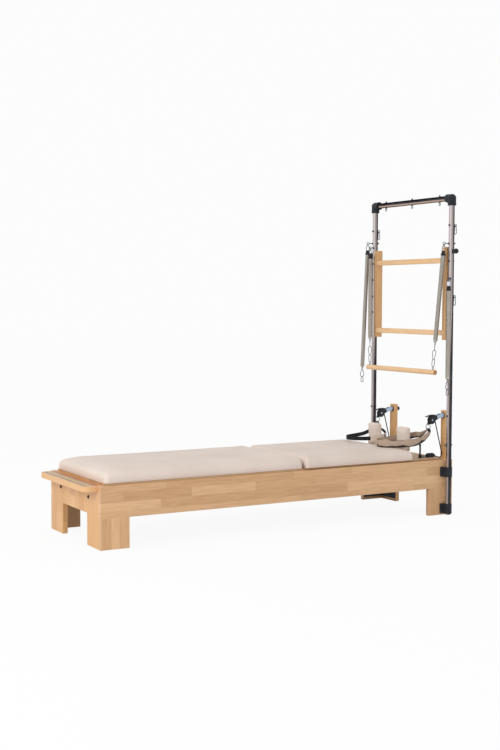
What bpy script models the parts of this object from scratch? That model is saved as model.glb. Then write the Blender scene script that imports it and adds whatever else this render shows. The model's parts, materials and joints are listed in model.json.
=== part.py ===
"""Pilates reformer with a tower, built as separate named pieces.

Metres, +Z up. X runs from the standing platform at the foot end to the tower, and Y across the bed.
The origin is on the floor, under the middle of the whole object.
"""
import math

import bmesh
import bpy
from mathutils import Matrix, Vector

# Clearances
SEAT = 0.0003             # between faces that touch
LINK = 0.0006             # between a hanging ring and the ring that carries it

# Wooden bed frame
FRAME_LENGTH = 2.440
FRAME_WIDTH = 0.755
RAIL_TOP = 0.352
RAIL_BOTTOM = 0.173
FOOT_LEG = 0.175
TOWER_LEG = 0.185
BOARD = 0.031
EDGE = 0.002
PORTAL_SIDE = 0.1915      # from the outer face of a side plank in to the end board's opening
PORTAL_TOP = 0.181
CROSS_HEIGHT = 0.028
CROSS_WIDTH = 0.060

# Standing platform
PLATFORM_OVERHANG = 0.085
PLATFORM_INSIDE = 0.090
PLATFORM_THICK = 0.030
PLATFORM_CORNER = 0.045

# Spring bar at the foot end
SPRING_BAR_X = 0.190
SPRING_BAR_RADIUS = 0.010
SPRING_PLATE = (0.040, 0.005, 0.060)   # length, thickness and height

# Tracks and wheels
TRACK_START = 0.250
TRACK_END = FRAME_LENGTH - 0.040
TRACK_BOTTOM = RAIL_TOP - 0.117
TRACK_HEIGHT = 0.043
TRACK_WIDTH = 0.030
RIB_HEIGHT = 0.006
RIB_HALF = 0.0035
WHEEL_GROOVE = 0.019
WHEEL_RIM = 0.024
WHEEL_WIDTH = 0.020
AXLE = 0.004

# Pads
PAD_SIDE = 0.010          # from the plank's outer face in to the pad's edge
PAD_LIFT = 0.0097         # from the rail's top up to the pad
PAD_THICK = 0.052
PAD_CROWN = 0.016
PAD_EDGE = 0.016
PAD_PULL = 0.003
SUPPORT = 0.0085          # board under a pad
SUPPORT_INSET = 0.008
INSERT_START = 0.030
PAD_END = FRAME_LENGTH - 0.285
CARRIAGE_PAD = 0.825
SEAM_GAP = 0.003

# Carriage
CARRIAGE_END = FRAME_LENGTH - 0.070
CARRIAGE_TRAVEL = 1.020
INSERT_RISE = 0.30        # lift of the mat insert for each metre that it draws back
CARRIAGE_SIDE = 0.0025    # air between the carriage board and the plank
BEAM_HEIGHT = 0.058
BEAM_WIDTH = 0.036
BEAM_SIDE = 0.0315        # from the plank's inner face in to the beam
WHEEL_INSET = 0.100
SPRING_Y = (-0.165, -0.055, 0.055, 0.165)
SPRING_BODY = 0.014
SPRING_LENGTH = 0.420
SPRING_ANCHOR_X = FRAME_LENGTH - 0.225
HOOK_BAR = 0.005
SPRING_NECK = 0.006
SPRING_TAPER = 0.016
CROSS_BEAM = (0.036, 0.028)   # width and height

# Shoulder rests
REST_X = FRAME_LENGTH - 0.255
REST_THICK = 0.045
REST_WIDTH = 0.119
REST_ROPE_GAP = 0.0605    # from the rest's outer side to the plane of the rope
REST_BOTTOM = RAIL_TOP + 0.043
REST_TOP = REST_BOTTOM + 0.155
REST_EDGE = 0.014
REST_LIFT = 0.050
REST_SINK = 0.0017        # the bracket stands in the rest's drawn-in back
REST_CROWN = 0.004
REST_PULL = 0.003
BRACKET = 0.005
BRACKET_HALF = 0.030
BRACKET_FOOT = 0.034
BRACKET_DROP = 0.050      # from the top of a rest down to its bracket's top
PEG = 0.008
PEG_SHIFT = 0.012         # from the bracket back to its peg

# Risers, pulleys and ropes
RISER_THICK = 0.030
RISER_WIDTH = 0.050
RISER_INSET = 0.075
RISER_BOTTOM = RAIL_TOP - 0.152
RISER_TOP = RAIL_TOP + 0.308
ARM_Z = RISER_TOP - 0.032
ARM = 0.008
PULLEY_X = FRAME_LENGTH - 0.095
PULLEY_Z = ARM_Z - 0.026
PULLEY_GROOVE = 0.0225
PULLEY_RIM = 0.0285
PULLEY_WIDTH = 0.013
CHEEK = 0.0045
HOUSING = 0.026           # radius of the pulley housing
HOUSING_NECK = 0.011
YOKE = 0.036
KNUCKLE = 0.026
STUD_TAIL = 0.012
FLANGE = (0.018, 0.005)   # radius and thickness
KNOB = 0.015
KNOB_LENGTH = 0.030
ROPE = 0.0035
ROPE_LIFT = 0.010         # from the carriage board up to the rope
ROPE_POST = 0.0055
ROPE_POST_X = FRAME_LENGTH - 0.184
ROPE_POST_TOP = RAIL_TOP + 0.097
CLEAT_X = FRAME_LENGTH - 0.130
CLEAT_LENGTH = 0.056
CLEAT_HALF = 0.013
CLEAT_HEIGHT = 0.025
LOCK_BASE = 0.003
LOCK_HALF = 0.012
RING_DROP = 0.040         # from the pulley's middle down to the ring's
RING = 0.017
RING_WIRE = 0.002

# Tower
POST_X = FRAME_LENGTH - 0.059
POST_OFFSET = 0.034
POST_RADIUS = 0.0175
POST_WALL = 0.002
POST_BOTTOM = 0.008
TUBE_SIDES = 18
CROSSBAR_Z = 2.016
ELBOW = 0.0265
ELBOW_REACH = 0.046
ELBOW_BORE_STOP = 0.018
CLAMP_HEIGHT = 0.062
CLAMP_Z = (0.043, RAIL_TOP - 0.074)
CLAMP_HALF = 0.042
CLAMP_FLANGE = 0.006
CLAMP_WALL = 0.006
EYE = 0.008
EYE_WIRE = 0.0022
SHANK = 0.003
SHANK_TAIL = 0.010
NUT = (0.006, 0.0055)     # radius and height
EYE_DROP = 0.004          # from the crossbar down to its eyes
HOOK_INSET = 0.1235       # from a post in to the outer eyes of the crossbar

# Hardware on the posts
SNAP_Z = CROSSBAR_Z - 0.170
ARM_SPRING_Z = CROSSBAR_Z - 0.285
FAR_LEG_SPRING_Z = CROSSBAR_Z - 0.254
NEAR_LEG_SPRING_Z = CROSSBAR_Z - 0.506
SPARE_EYE_Z = CROSSBAR_Z - 0.619
LOW_EYE_Z = RAIL_TOP + 0.100
ARM_EYE_REACH = 0.050
LEG_EYE_REACH = 0.050
PLAIN_EYE_REACH = 0.030
INWARD = math.radians(15)
OUTWARD = math.radians(35)

# Ladder
STILE_WIDTH = 0.037
STILE_DEPTH = 0.043
STILE_TOP = CROSSBAR_Z - 0.306
STILE_BOTTOM = STILE_TOP - 0.590
STILE_GAP = 0.005
RUNG_Z = (STILE_TOP - 0.0845, STILE_BOTTOM + 0.046)
RUNG_HEIGHT = 0.034
RUNG_DEPTH = 0.020
RUNG_EDGE = 0.004
LADDER_PIVOT_Z = STILE_TOP - 0.028
PIVOT = 0.005
KNOB_RADIUS = 0.017
KNOB_NECK = POST_RADIUS + 0.014
SPACER = 0.009

# Roll-down bar and tower springs
BAR_RADIUS = 0.0165
BAR_Z = ARM_SPRING_Z - 0.816
BAR_END = 0.025           # from a screw eye out to the end of the bar
BAR_FORWARD = 0.035    # from below its eyes towards the bed
BAR_EYE_INSET = 0.0665    # from a post in to the bar's screw eye
BAR_EYE = 0.0075
BAR_EYE_DEPTH = 0.012
BAR_EYE_LIFT = 0.004
BAR_EDGE = 0.003
COIL = 0.0125
COIL_WIRE = 0.0016
CURLS = 10
ARM_COIL = 0.541
FAR_LEG_COIL = 0.770
FAR_LEG_LEAN = 0.045   # towards the bed, for each metre down
NEAR_LEG_COIL = 0.551
UPPER_CAP = 0.056      # sleeve between the hanging ring and the coil
CAP_LENGTH = 0.014
CAP_RADIUS = 0.0140
CAP_SIDES = 10
RING_HALF = 0.0075
RING_SINK = 0.0008        # how far a ring runs into its cap
LINK_WIRE = 0.0018
LINK_HALF = 0.0062
SNAP_LENGTH = 0.055

# Worked out from the driving dimensions
HALF = FRAME_WIDTH / 2
INNER = HALF - BOARD
RISER_X = FRAME_LENGTH + SEAT
OVERALL_END = RISER_X + RISER_THICK + KNOB_LENGTH
CARRIAGE_START = PAD_END - CARRIAGE_PAD
SEAM = CARRIAGE_START - SEAM_GAP
FOOT = -(OVERALL_END - PLATFORM_OVERHANG) / 2
POST_Y = HALF + POST_OFFSET
ROPE_Y = HALF - RISER_INSET - RISER_WIDTH / 2
REST_OUTER = ROPE_Y - REST_ROPE_GAP
REST_INNER = REST_OUTER - REST_WIDTH
PAD_BOTTOM = RAIL_TOP + PAD_LIFT
PAD_HALF = HALF - PAD_SIDE
SUPPORT_TOP = PAD_BOTTOM - SEAT
SUPPORT_BOTTOM = SUPPORT_TOP - SUPPORT
CARRIAGE_HALF = INNER - CARRIAGE_SIDE
BEAM_OUTER = INNER - BEAM_SIDE
TRACK_Y = INNER - SEAT - TRACK_WIDTH / 2
RIB_TOP = TRACK_BOTTOM + TRACK_HEIGHT + RIB_HEIGHT
AXLE_Z = RIB_TOP + SEAT + WHEEL_GROOVE
BEAM_TOP = SUPPORT_BOTTOM - SEAT
FRONT_AXLE_X = CARRIAGE_START + WHEEL_INSET
REAR_AXLE_X = CARRIAGE_END - WHEEL_INSET
STILE_Y = POST_Y - POST_RADIUS - STILE_GAP - STILE_WIDTH / 2
ROPE_RADIUS = PULLEY_GROOVE + ROPE + SEAT
LANE_X = PULLEY_X - ROPE_RADIUS
RING_Z = PULLEY_Z - RING_DROP
BOARD_FACE = SUPPORT_TOP + SEAT
ROPE_Z = BOARD_FACE + ROPE_LIFT
CROSSBAR_HOOK_Y = POST_Y - HOOK_INSET
BAR_EYE_Y = POST_Y - BAR_EYE_INSET
BAR_LENGTH = 2 * (BAR_EYE_Y + BAR_END)
SIDES = {"near": -1, "far": 1}


def x_at(distance):
    """X of a place given by its distance from the frame's foot end."""
    return FOOT + distance


def start_scene():
    """Removes what the scene holds and makes the collections for parts and cutters."""
    for obj in list(bpy.data.objects):
        bpy.data.objects.remove(obj, do_unlink=True)
    made = {}
    for name in ("pilates_reformer", "cutters"):
        made[name] = bpy.data.collections.new(name)
        bpy.context.scene.collection.children.link(made[name])
    return made["pilates_reformer"], made["cutters"]


PARTS, CUTTERS = start_scene()


def finish(name, colour, roughness, metallic=0.0):
    """A plain material with a colour, roughness and metallic value."""
    material = bpy.data.materials.new(name)
    material.use_nodes = True
    shader = material.node_tree.nodes["Principled BSDF"]
    shader.inputs["Base Color"].default_value = (*colour, 1.0)
    shader.inputs["Roughness"].default_value = roughness
    shader.inputs["Metallic"].default_value = metallic
    return material


WOODS = {"rail": (0.62, 0.41, 0.23), "light": (0.73, 0.47, 0.25), "shade": (0.51, 0.31, 0.14)}
PAD = ((0.70, 0.60, 0.52), 0.55, 0.0)
BLACK = ((0.03, 0.03, 0.035), 0.45, 0.0)
CHROME = ((0.75, 0.76, 0.78), 0.15, 1.0)
STEEL = ((0.55, 0.55, 0.54), 0.35, 1.0)
ALUMINIUM = ((0.70, 0.71, 0.72), 0.40, 1.0)


def wood(tone):
    """Values of a clear varnished wood in one of its tones."""
    return (WOODS[tone], 0.45, 0.0)


def publish(obj, name, look, smooth=False):
    """Names a finished object, gives it its own material and files it among the parts."""
    obj.name = name
    obj.data.name = name
    obj.data.materials.clear()
    obj.data.materials.append(finish(name, *look))
    if smooth:
        obj.data.shade_smooth()
        obj.data.set_sharp_from_angle(angle=math.radians(40))
    for collection in list(obj.users_collection):
        collection.objects.unlink(obj)
    PARTS.objects.link(obj)
    return obj


def as_cutter(obj):
    """Files an object among the cutters, out of the render."""
    for collection in list(obj.users_collection):
        collection.objects.unlink(obj)
    CUTTERS.objects.link(obj)
    obj.hide_render = True
    obj.display_type = "WIRE"
    return obj


def new_object(bm, at=(0, 0, 0)):
    """An object that holds a bmesh, at a place."""
    mesh = bpy.data.meshes.new("piece")
    bm.to_mesh(mesh)
    bm.free()
    obj = bpy.data.objects.new("piece", mesh)
    obj.location = at
    bpy.context.scene.collection.objects.link(obj)
    return obj


def box(low, high, edge=0.0):
    """A box between two corners, with its edges rounded over when edge is given."""
    size = [b - a for a, b in zip(low, high)]
    bm = bmesh.new()
    bmesh.ops.create_cube(bm, size=1.0, matrix=Matrix.Diagonal((*size, 1.0)))
    obj = new_object(bm, [(a + b) / 2 for a, b in zip(low, high)])
    if edge:
        add_bevel(obj, edge)
    return obj


def add_bevel(obj, width, segments=1):
    """Breaks the sharp edges of an object."""
    bevel = obj.modifiers.new("edges", "BEVEL")
    bevel.width = width
    bevel.segments = segments
    bevel.limit_method = "ANGLE"
    bevel.angle_limit = math.radians(40)


def rod(start, end, radius, sides=16):
    """A round bar between two points."""
    start, end = Vector(start), Vector(end)
    bm = bmesh.new()
    bmesh.ops.create_cone(bm, cap_ends=True, segments=sides, radius1=radius, radius2=radius,
                          depth=(end - start).length, matrix=Matrix.Rotation(math.pi / sides, 4, "Z"))
    obj = new_object(bm, (start + end) / 2)
    obj.rotation_euler = (end - start).to_track_quat("Z", "Y").to_euler()
    return obj


def turned(profile, at, axis=(0, 0, 1), steps=16, closed=False):
    """A turned shape. The profile holds (radius, height) points down the outer side."""
    bm = bmesh.new()
    points = [bm.verts.new((radius, 0, height)) for radius, height in profile]
    for first, second in zip(points, points[1:]):
        bm.edges.new((first, second))
    if closed:
        bm.edges.new((points[-1], points[0]))
    obj = new_object(bm, at)
    obj.rotation_euler = Vector(axis).to_track_quat("Z", "Y").to_euler()
    screw = obj.modifiers.new("turn", "SCREW")
    screw.steps = steps
    screw.render_steps = steps
    screw.use_merge_vertices = True
    screw.merge_threshold = 0.00001
    return obj


def tube_between(start, end, outer, inner, sides=TUBE_SIDES):
    """A hollow tube between two points."""
    start, end = Vector(start), Vector(end)
    half = (end - start).length / 2
    profile = [(outer, half), (outer, -half), (inner, -half), (inner, half)]
    return turned(profile, (start + end) / 2, end - start, sides, closed=True)


def settled(obj):
    """The object's evaluated shape as a plain mesh in world space."""
    bpy.context.view_layer.update()
    evaluated = obj.evaluated_get(bpy.context.evaluated_depsgraph_get())
    mesh = bpy.data.meshes.new_from_object(evaluated)
    mesh.transform(obj.matrix_world)
    return mesh


def plate(loops, low, high, plane="XZ", edge=0.0):
    """A flat outline, its first loop the rim and the others holes, between two heights."""
    curve = bpy.data.curves.new("outline", "CURVE")
    curve.dimensions = "2D"
    curve.fill_mode = "BOTH"
    curve.extrude = (high - low) / 2
    for loop in loops:
        spline = curve.splines.new("POLY")
        spline.points.add(len(loop) - 1)
        for point, (across, along) in zip(spline.points, loop):
            point.co = (across, along, 0.0, 1.0)
        spline.use_cyclic_u = True
    drawn = bpy.data.objects.new("outline", curve)
    bpy.context.scene.collection.objects.link(drawn)
    middle = (low + high) / 2
    frames = {
        "XY": Matrix.Translation((0, 0, middle)),
        "XZ": Matrix.Translation((0, middle, 0)) @ Matrix.Rotation(math.radians(90), 4, "X"),
        "YZ": Matrix(((0, 0, 1, middle), (1, 0, 0, 0), (0, 1, 0, 0), (0, 0, 0, 1))),
    }
    drawn.matrix_world = frames[plane]
    bm = bmesh.new()
    bm.from_mesh(settled(drawn))
    bpy.data.objects.remove(drawn, do_unlink=True)
    bmesh.ops.remove_doubles(bm, verts=bm.verts, dist=0.00001)
    bmesh.ops.recalc_face_normals(bm, faces=bm.faces)
    obj = new_object(bm)
    if edge:
        add_bevel(obj, edge)
    return obj


def swept(points, radius, resolution=1, cyclic=False):
    """A round wire or rope along points, as a closed mesh."""
    curve = bpy.data.curves.new("path", "CURVE")
    curve.dimensions = "3D"
    curve.bevel_depth = radius
    curve.bevel_resolution = resolution
    curve.use_fill_caps = True
    spline = curve.splines.new("POLY")
    spline.points.add(len(points) - 1)
    for point, place in zip(spline.points, points):
        point.co = (*place, 1.0)
    spline.use_cyclic_u = cyclic
    drawn = bpy.data.objects.new("path", curve)
    bpy.context.scene.collection.objects.link(drawn)
    bm = bmesh.new()
    bm.from_mesh(settled(drawn))
    bpy.data.objects.remove(drawn, do_unlink=True)
    bmesh.ops.remove_doubles(bm, verts=bm.verts, dist=0.00001)
    bmesh.ops.recalc_face_normals(bm, faces=bm.faces)
    return new_object(bm)


def bore_for(radius, sides):
    """Radius of a bore with flat sides that clears a round bar all round."""
    return (radius + SEAT) / math.cos(math.pi / sides)


def cut(obj, *cutters):
    """Cuts shapes out of an object."""
    for cutter in cutters:
        modifier = obj.modifiers.new("cut", "BOOLEAN")
        modifier.operation = "DIFFERENCE"
        modifier.object = as_cutter(cutter)
    return obj


def fuse(obj, *others):
    """Joins shapes into one body."""
    for other in others:
        modifier = obj.modifiers.new("join", "BOOLEAN")
        modifier.operation = "UNION"
        modifier.object = as_cutter(other)
    return obj


def circle(centre, radius, count=16, start=0.0, sweep=2 * math.pi):
    """Points along an arc; a whole circle leaves out its last point."""
    whole = abs(sweep - 2 * math.pi) < 1e-9
    last = count if whole else count - 1
    angles = [start + sweep * i / last for i in range(count)]
    return [(centre[0] + radius * math.cos(a), centre[1] + radius * math.sin(a)) for a in angles]


def smooth_path(points, per_span=4, closed=False):
    """Points of a smooth curve through the given ones."""
    result = []
    count = len(points)
    spans = count if closed else count - 1
    for i in range(spans):
        if closed:
            picks = [Vector(points[(i + k) % count]) for k in (-1, 0, 1, 2)]
        else:
            picks = [Vector(points[min(max(i + k, 0), count - 1)]) for k in (-1, 0, 1, 2)]
        before, here, there, after = picks
        for step in range(per_span):
            t = step / per_span
            result.append(0.5 * (2 * here + (there - before) * t
                                 + (2 * before - 5 * here + 4 * there - after) * t ** 2
                                 + (3 * here - before - 3 * there + after) * t ** 3))
    if not closed:
        result.append(Vector(points[-1]))
    return result


def ring(centre, radius, wire, normal, count=10, stretch=0.0):
    """A wire ring, or an oval link when stretch moves its two ends apart along Z."""
    normal = Vector(normal).normalized()
    across = normal.cross(Vector((0, 0, 1)))
    points = []
    for i in range(count):
        angle = 2 * math.pi * i / count + math.pi / 2
        rise = radius * math.sin(angle) + math.copysign(stretch / 2, math.sin(angle))
        points.append(Vector(centre) + across * radius * math.cos(angle) + Vector((0, 0, rise)))
    return swept(points, wire, 0, cyclic=True)


def cushion(low, high, crown, pull, edge, cuts, segments=3):
    """A padded block: crowned on its upper side, drawn in along its sides."""
    size = [b - a for a, b in zip(low, high)]
    bm = bmesh.new()
    bmesh.ops.create_cube(bm, size=1.0, matrix=Matrix.Diagonal((*size, 1.0)))
    for axis, count in enumerate(cuts):
        for step in range(1, count):
            place = [0.0, 0.0, 0.0]
            place[axis] = size[axis] * (step / count - 0.5)
            normal = [0.0, 0.0, 0.0]
            normal[axis] = 1.0
            geometry = bm.verts[:] + bm.edges[:] + bm.faces[:]
            bmesh.ops.bisect_plane(bm, geom=geometry, plane_co=place, plane_no=normal)
    for vert in bm.verts:
        share = [2 * vert.co[axis] / size[axis] for axis in range(3)]
        if share[2] > 0.99:
            vert.co.z += crown * (1 - share[0] ** 2) * (1 - share[1] ** 2)
        for axis, other in ((0, 1), (1, 0)):
            if abs(share[axis]) > 0.99:
                vert.co[axis] -= math.copysign(pull * (1 - share[other] ** 2), share[axis])
    obj = new_object(bm, [(a + b) / 2 for a, b in zip(low, high)])
    add_bevel(obj, edge, segments)
    return obj


def joint_axis(name, at):
    """An empty on a joint's axis."""
    empty = bpy.data.objects.new(name, None)
    empty.location = at
    PARTS.objects.link(empty)
    return empty


def ride(empty, *objects):
    """Hangs pieces on the empty of their joint, where they are."""
    for obj in objects:
        obj.parent = empty
        obj.matrix_parent_inverse = Matrix.Translation(empty.location).inverted()


# Bed frame


def side_plank(side):
    """Long plank with a leg at both ends."""
    start, end = x_at(0), x_at(FRAME_LENGTH)
    outline = [(start, 0), (start + FOOT_LEG, 0), (start + FOOT_LEG, RAIL_BOTTOM),
               (end - TOWER_LEG, RAIL_BOTTOM), (end - TOWER_LEG, 0), (end, 0),
               (end, RAIL_TOP), (start, RAIL_TOP)]
    return plate([outline], *sorted((side * INNER, side * HALF)), edge=EDGE)


def end_board(start, top):
    """Board between the planks at one end of the bed, with an opening between two legs."""
    reach = INNER - SEAT
    half = HALF - PORTAL_SIDE
    outline = [(-reach, 0), (-half, 0), (-half, PORTAL_TOP), (half, PORTAL_TOP), (half, 0),
               (reach, 0), (reach, top), (-reach, top)]
    return plate([outline], x_at(start), x_at(start + BOARD), "YZ", EDGE)


def standing_platform():
    """Laminated step board at the foot end, with round outer corners."""
    front, back = x_at(-PLATFORM_OVERHANG), x_at(PLATFORM_INSIDE)
    reach = INNER - SEAT
    corner_x = front + PLATFORM_CORNER
    corner_y = reach - PLATFORM_CORNER
    outline = [(back, -reach), (back, reach)]
    outline += circle((corner_x, corner_y), PLATFORM_CORNER, 7, math.pi / 2, math.pi / 2)
    outline += circle((corner_x, -corner_y), PLATFORM_CORNER, 7, math.pi, math.pi / 2)
    return plate([outline], RAIL_TOP - PLATFORM_THICK, RAIL_TOP, "XY", EDGE)


def cross_member():
    """Flat rail that ties the two planks together low down."""
    bottom = RAIL_BOTTOM + EDGE
    reach = INNER - SEAT
    middle = x_at(FRAME_LENGTH / 2)
    return box((middle - CROSS_WIDTH / 2, -reach, bottom),
               (middle + CROSS_WIDTH / 2, reach, bottom + CROSS_HEIGHT), EDGE)


def track(side):
    """Aluminium ledge on a plank's inner face, with the rib that a grooved wheel runs on."""
    y = side * TRACK_Y
    half = TRACK_WIDTH / 2
    face = TRACK_BOTTOM + TRACK_HEIGHT
    outline = [(y - half, TRACK_BOTTOM), (y + half, TRACK_BOTTOM), (y + half, face),
               (y + RIB_HALF, face), (y + RIB_HALF / 3, RIB_TOP), (y - RIB_HALF / 3, RIB_TOP),
               (y - RIB_HALF, face), (y - half, face)]
    return plate([outline], x_at(TRACK_START), x_at(TRACK_END), "YZ")


def spring_bar():
    """Steel bar at the foot end that the carriage springs hook on, with its end plates."""
    reach = INNER - SEAT
    x = x_at(SPRING_BAR_X)
    length, thick, height = SPRING_PLATE
    bar = rod((x, -reach + thick / 2, AXLE_Z), (x, reach - thick / 2, AXLE_Z), SPRING_BAR_RADIUS, 14)
    plates = []
    for side in SIDES.values():
        y = sorted((side * (reach - thick), side * reach))
        plates.append(box((x - length / 2, y[0], AXLE_Z - height / 2),
                          (x + length / 2, y[1], AXLE_Z + height / 2)))
    return fuse(bar, *plates)


# Risers, pulleys and ropes


def riser(side):
    """Wooden upright behind the tower end board, bored for the pulley arm."""
    y = sorted((side * (HALF - RISER_INSET), side * (HALF - RISER_INSET - RISER_WIDTH)))
    post = box((x_at(RISER_X), y[0], RISER_BOTTOM), (x_at(RISER_X + RISER_THICK), y[1], RISER_TOP),
               EDGE)
    hole = rod((x_at(RISER_X - 0.01), side * ROPE_Y, ARM_Z),
               (x_at(RISER_X + RISER_THICK + 0.01), side * ROPE_Y, ARM_Z), ARM + 2 * SEAT, 12)
    return cut(post, hole)


def pulley_bracket(side):
    """Arm through the riser with its flange and knob, and the slotted housing with its pin."""
    y = side * ROPE_Y
    face = x_at(RISER_X)
    back = face + RISER_THICK
    knuckle = Vector((face - KNUCKLE, y, ARM_Z))
    centre = Vector((x_at(PULLEY_X), y, PULLEY_Z))
    lean = math.atan2(knuckle.z - centre.z, knuckle.x - centre.x)
    half = PULLEY_WIDTH / 2 + 2 * SEAT + CHEEK
    slot = PULLEY_WIDTH / 2 + 2 * SEAT
    turn = Matrix.Rotation(lean, 2)
    neck = [turn @ Vector((YOKE + STUD_TAIL, reach)) for reach in (-HOUSING_NECK, HOUSING_NECK)]
    outline = [(centre.x + corner.x, centre.z + corner.y) for corner in neck]
    sweep = 2 * math.pi - math.radians(70)
    outline += circle((centre.x, centre.z), HOUSING, 13, lean + math.radians(35), sweep)
    housing = plate([outline], y - half, y + half, "XZ")
    cut(housing, rod((centre.x, y - slot, centre.z), (centre.x, y + slot, centre.z), YOKE))
    tip = half + CHEEK / 2
    pin = rod((centre.x, y - tip, centre.z), (centre.x, y + tip, centre.z), AXLE, 8)
    arm_start = centre + (knuckle - centre).normalized() * (YOKE + STUD_TAIL / 2)
    neck_bar = rod(arm_start, knuckle + Vector((ARM / 2, 0, 0)), ARM - SEAT, 10)
    stud = rod(knuckle, (back + STUD_TAIL, y, ARM_Z), ARM, 10)
    radius, thick = FLANGE
    flange = rod((face - SEAT - thick, y, ARM_Z), (face - SEAT, y, ARM_Z), radius, 12)
    knob = turned([(0, KNOB_LENGTH), (0.73 * KNOB, KNOB_LENGTH), (KNOB, 0.67 * KNOB_LENGTH),
                   (KNOB, 0.20 * KNOB_LENGTH), (0.67 * KNOB, SEAT), (0, SEAT)], (back, y, ARM_Z), (1, 0, 0), 12)
    return fuse(housing, pin, neck_bar, stud, flange, knob)


def pulley_wheel(side):
    """Grooved pulley wheel."""
    half = PULLEY_WIDTH / 2
    profile = [(AXLE + SEAT, half), (PULLEY_RIM, half), (PULLEY_GROOVE, 0.002),
               (PULLEY_GROOVE, -0.002), (PULLEY_RIM, -half), (AXLE + SEAT, -half)]
    return turned(profile, (x_at(PULLEY_X), side * ROPE_Y, PULLEY_Z), (0, 1, 0), 18, closed=True)


# Where the rope turns up beside the riser: from the riser's face, and from the rail's top
ROPE_TURN = ((-0.0453, 0.0085), (-0.0223, 0.0055), (-0.0113, 0.0215), (-0.0138, 0.048))


def rope_points(side):
    """Route of a rope: post on the carriage, lock, down by the riser, up over the pulley, ring."""
    cleat_end = CLEAT_X + CLEAT_LENGTH
    low = [(ROPE_POST_X + ROPE_POST + SEAT, ROPE_Z), (CLEAT_X, ROPE_Z), (cleat_end - ROPE, ROPE_Z),
           (cleat_end + ROPE, ROPE_Z - ROPE / 4)]
    low += [(RISER_X + along, RAIL_TOP + up) for along, up in ROPE_TURN]
    start = Vector(low[-1])
    wheel = Vector((PULLEY_X, PULLEY_Z))
    away = start - wheel
    touch = math.atan2(away.y, away.x) + math.acos(ROPE_RADIUS / away.length)
    meet = wheel + ROPE_RADIUS * Vector((math.cos(touch), math.sin(touch)))
    low += [start.lerp(meet, share) for share in (0.35, 0.7, 0.95)]
    low += [wheel + ROPE_RADIUS * Vector((math.cos(angle), math.sin(angle)))
            for angle in [touch + (math.pi - touch) * i / 6 for i in range(7)]]
    low += [(LANE_X, PULLEY_Z - RING_DROP / 5), (LANE_X, RING_Z + RING + RING_WIRE + LINK)]
    return [Vector((x_at(x), side * ROPE_Y, z)) for x, z in low]


def rope(side):
    """Black rope from the carriage over the pulley to the ring of the foot loop."""
    return swept(smooth_path(rope_points(side), 2), ROPE)


# Carriage


def carriage_frame():
    """Two beams with cross beams and the two round bars that hold the springs."""
    low, high = BEAM_TOP - BEAM_HEIGHT, BEAM_TOP
    beams = []
    for side in SIDES.values():
        y = sorted((side * BEAM_OUTER, side * (BEAM_OUTER - BEAM_WIDTH)))
        beam = box((x_at(CARRIAGE_START + BRACKET), y[0], low),
                   (x_at(FRAME_LENGTH - BOARD - SEAT), y[1], high))
        bores = [rod((x_at(place), y[0] - 0.01, AXLE_Z), (x_at(place), y[1] + 0.01, AXLE_Z),
                     bore_for(AXLE, 10), 10) for place in (FRONT_AXLE_X, REAR_AXLE_X)]
        beams.append(cut(beam, *bores))
    reach = BEAM_OUTER - BEAM_WIDTH / 2
    wide, tall = CROSS_BEAM
    for x in (CARRIAGE_START + wide, (CARRIAGE_START + CARRIAGE_END) / 2, REAR_AXLE_X + wide):
        beams.append(box((x_at(x), -reach, high - tall), (x_at(x) + wide, reach, high - SEAT)))
    for place in hook_bar_places():
        beams.append(rod((x_at(place), -reach, AXLE_Z), (x_at(place), reach, AXLE_Z), HOOK_BAR, 10))
    return fuse(*beams)


def hook_bar_places():
    """Where the anchor bar and the parking bar of the carriage springs are."""
    return SPRING_ANCHOR_X, SPRING_ANCHOR_X - SPRING_LENGTH


def peg_place(side):
    """Plan position of the peg under a shoulder rest."""
    return x_at(REST_X + REST_THICK + BRACKET / 2 - PEG_SHIFT), side * (REST_INNER + REST_OUTER) / 2


def carriage_board():
    """Plywood deck of the carriage, bored for the pegs of the shoulder rests."""
    deck = box((x_at(CARRIAGE_START), -CARRIAGE_HALF, SUPPORT_BOTTOM),
               (x_at(CARRIAGE_END), CARRIAGE_HALF, SUPPORT_TOP))
    holes = [rod((*peg_place(side), SUPPORT_BOTTOM - 0.01), (*peg_place(side), SUPPORT_TOP + 0.01),
                 PEG + SEAT, 12) for side in SIDES.values()]
    return cut(deck, *holes)


SPRING_EYE_WIRE = 0.0018


def reformer_spring(y):
    """Close-wound carriage spring with an eye at each end round the hook bars."""
    anchor, parking = hook_bar_places()
    eye = HOOK_BAR + SPRING_EYE_WIRE + 2 * SEAT
    half = (anchor - parking) / 2 - eye + SEAT
    full = half - SPRING_TAPER
    body = turned([(0, half), (SPRING_NECK, half), (SPRING_BODY, full), (SPRING_BODY, -full),
                   (SPRING_NECK, -half), (0, -half)], (x_at((anchor + parking) / 2), y, AXLE_Z), (1, 0, 0), 8)
    eyes = [ring((x_at(place), y, AXLE_Z), eye, SPRING_EYE_WIRE, (0, 1, 0)) for place in (anchor, parking)]
    return fuse(body, *eyes)


def wheelset(place):
    """Axle across the carriage with a grooved wheel on each end."""
    half = WHEEL_WIDTH / 2
    flank = RIB_HALF + 0.002
    foot = RIB_HALF / 3 + SEAT
    wheel = [(WHEEL_RIM, half), (WHEEL_RIM, flank), (WHEEL_GROOVE, foot), (WHEEL_GROOVE, -foot),
             (WHEEL_RIM, -flank), (WHEEL_RIM, -half), (AXLE, -half)]
    upper = [(radius, TRACK_Y + height) for radius, height in wheel]
    lower = [(radius, -height) for radius, height in reversed(upper)]
    end = TRACK_Y + half
    return turned([(0, end), *upper, *lower, (0, -end)], (x_at(place), 0, AXLE_Z), (0, 1, 0), 12)


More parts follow.
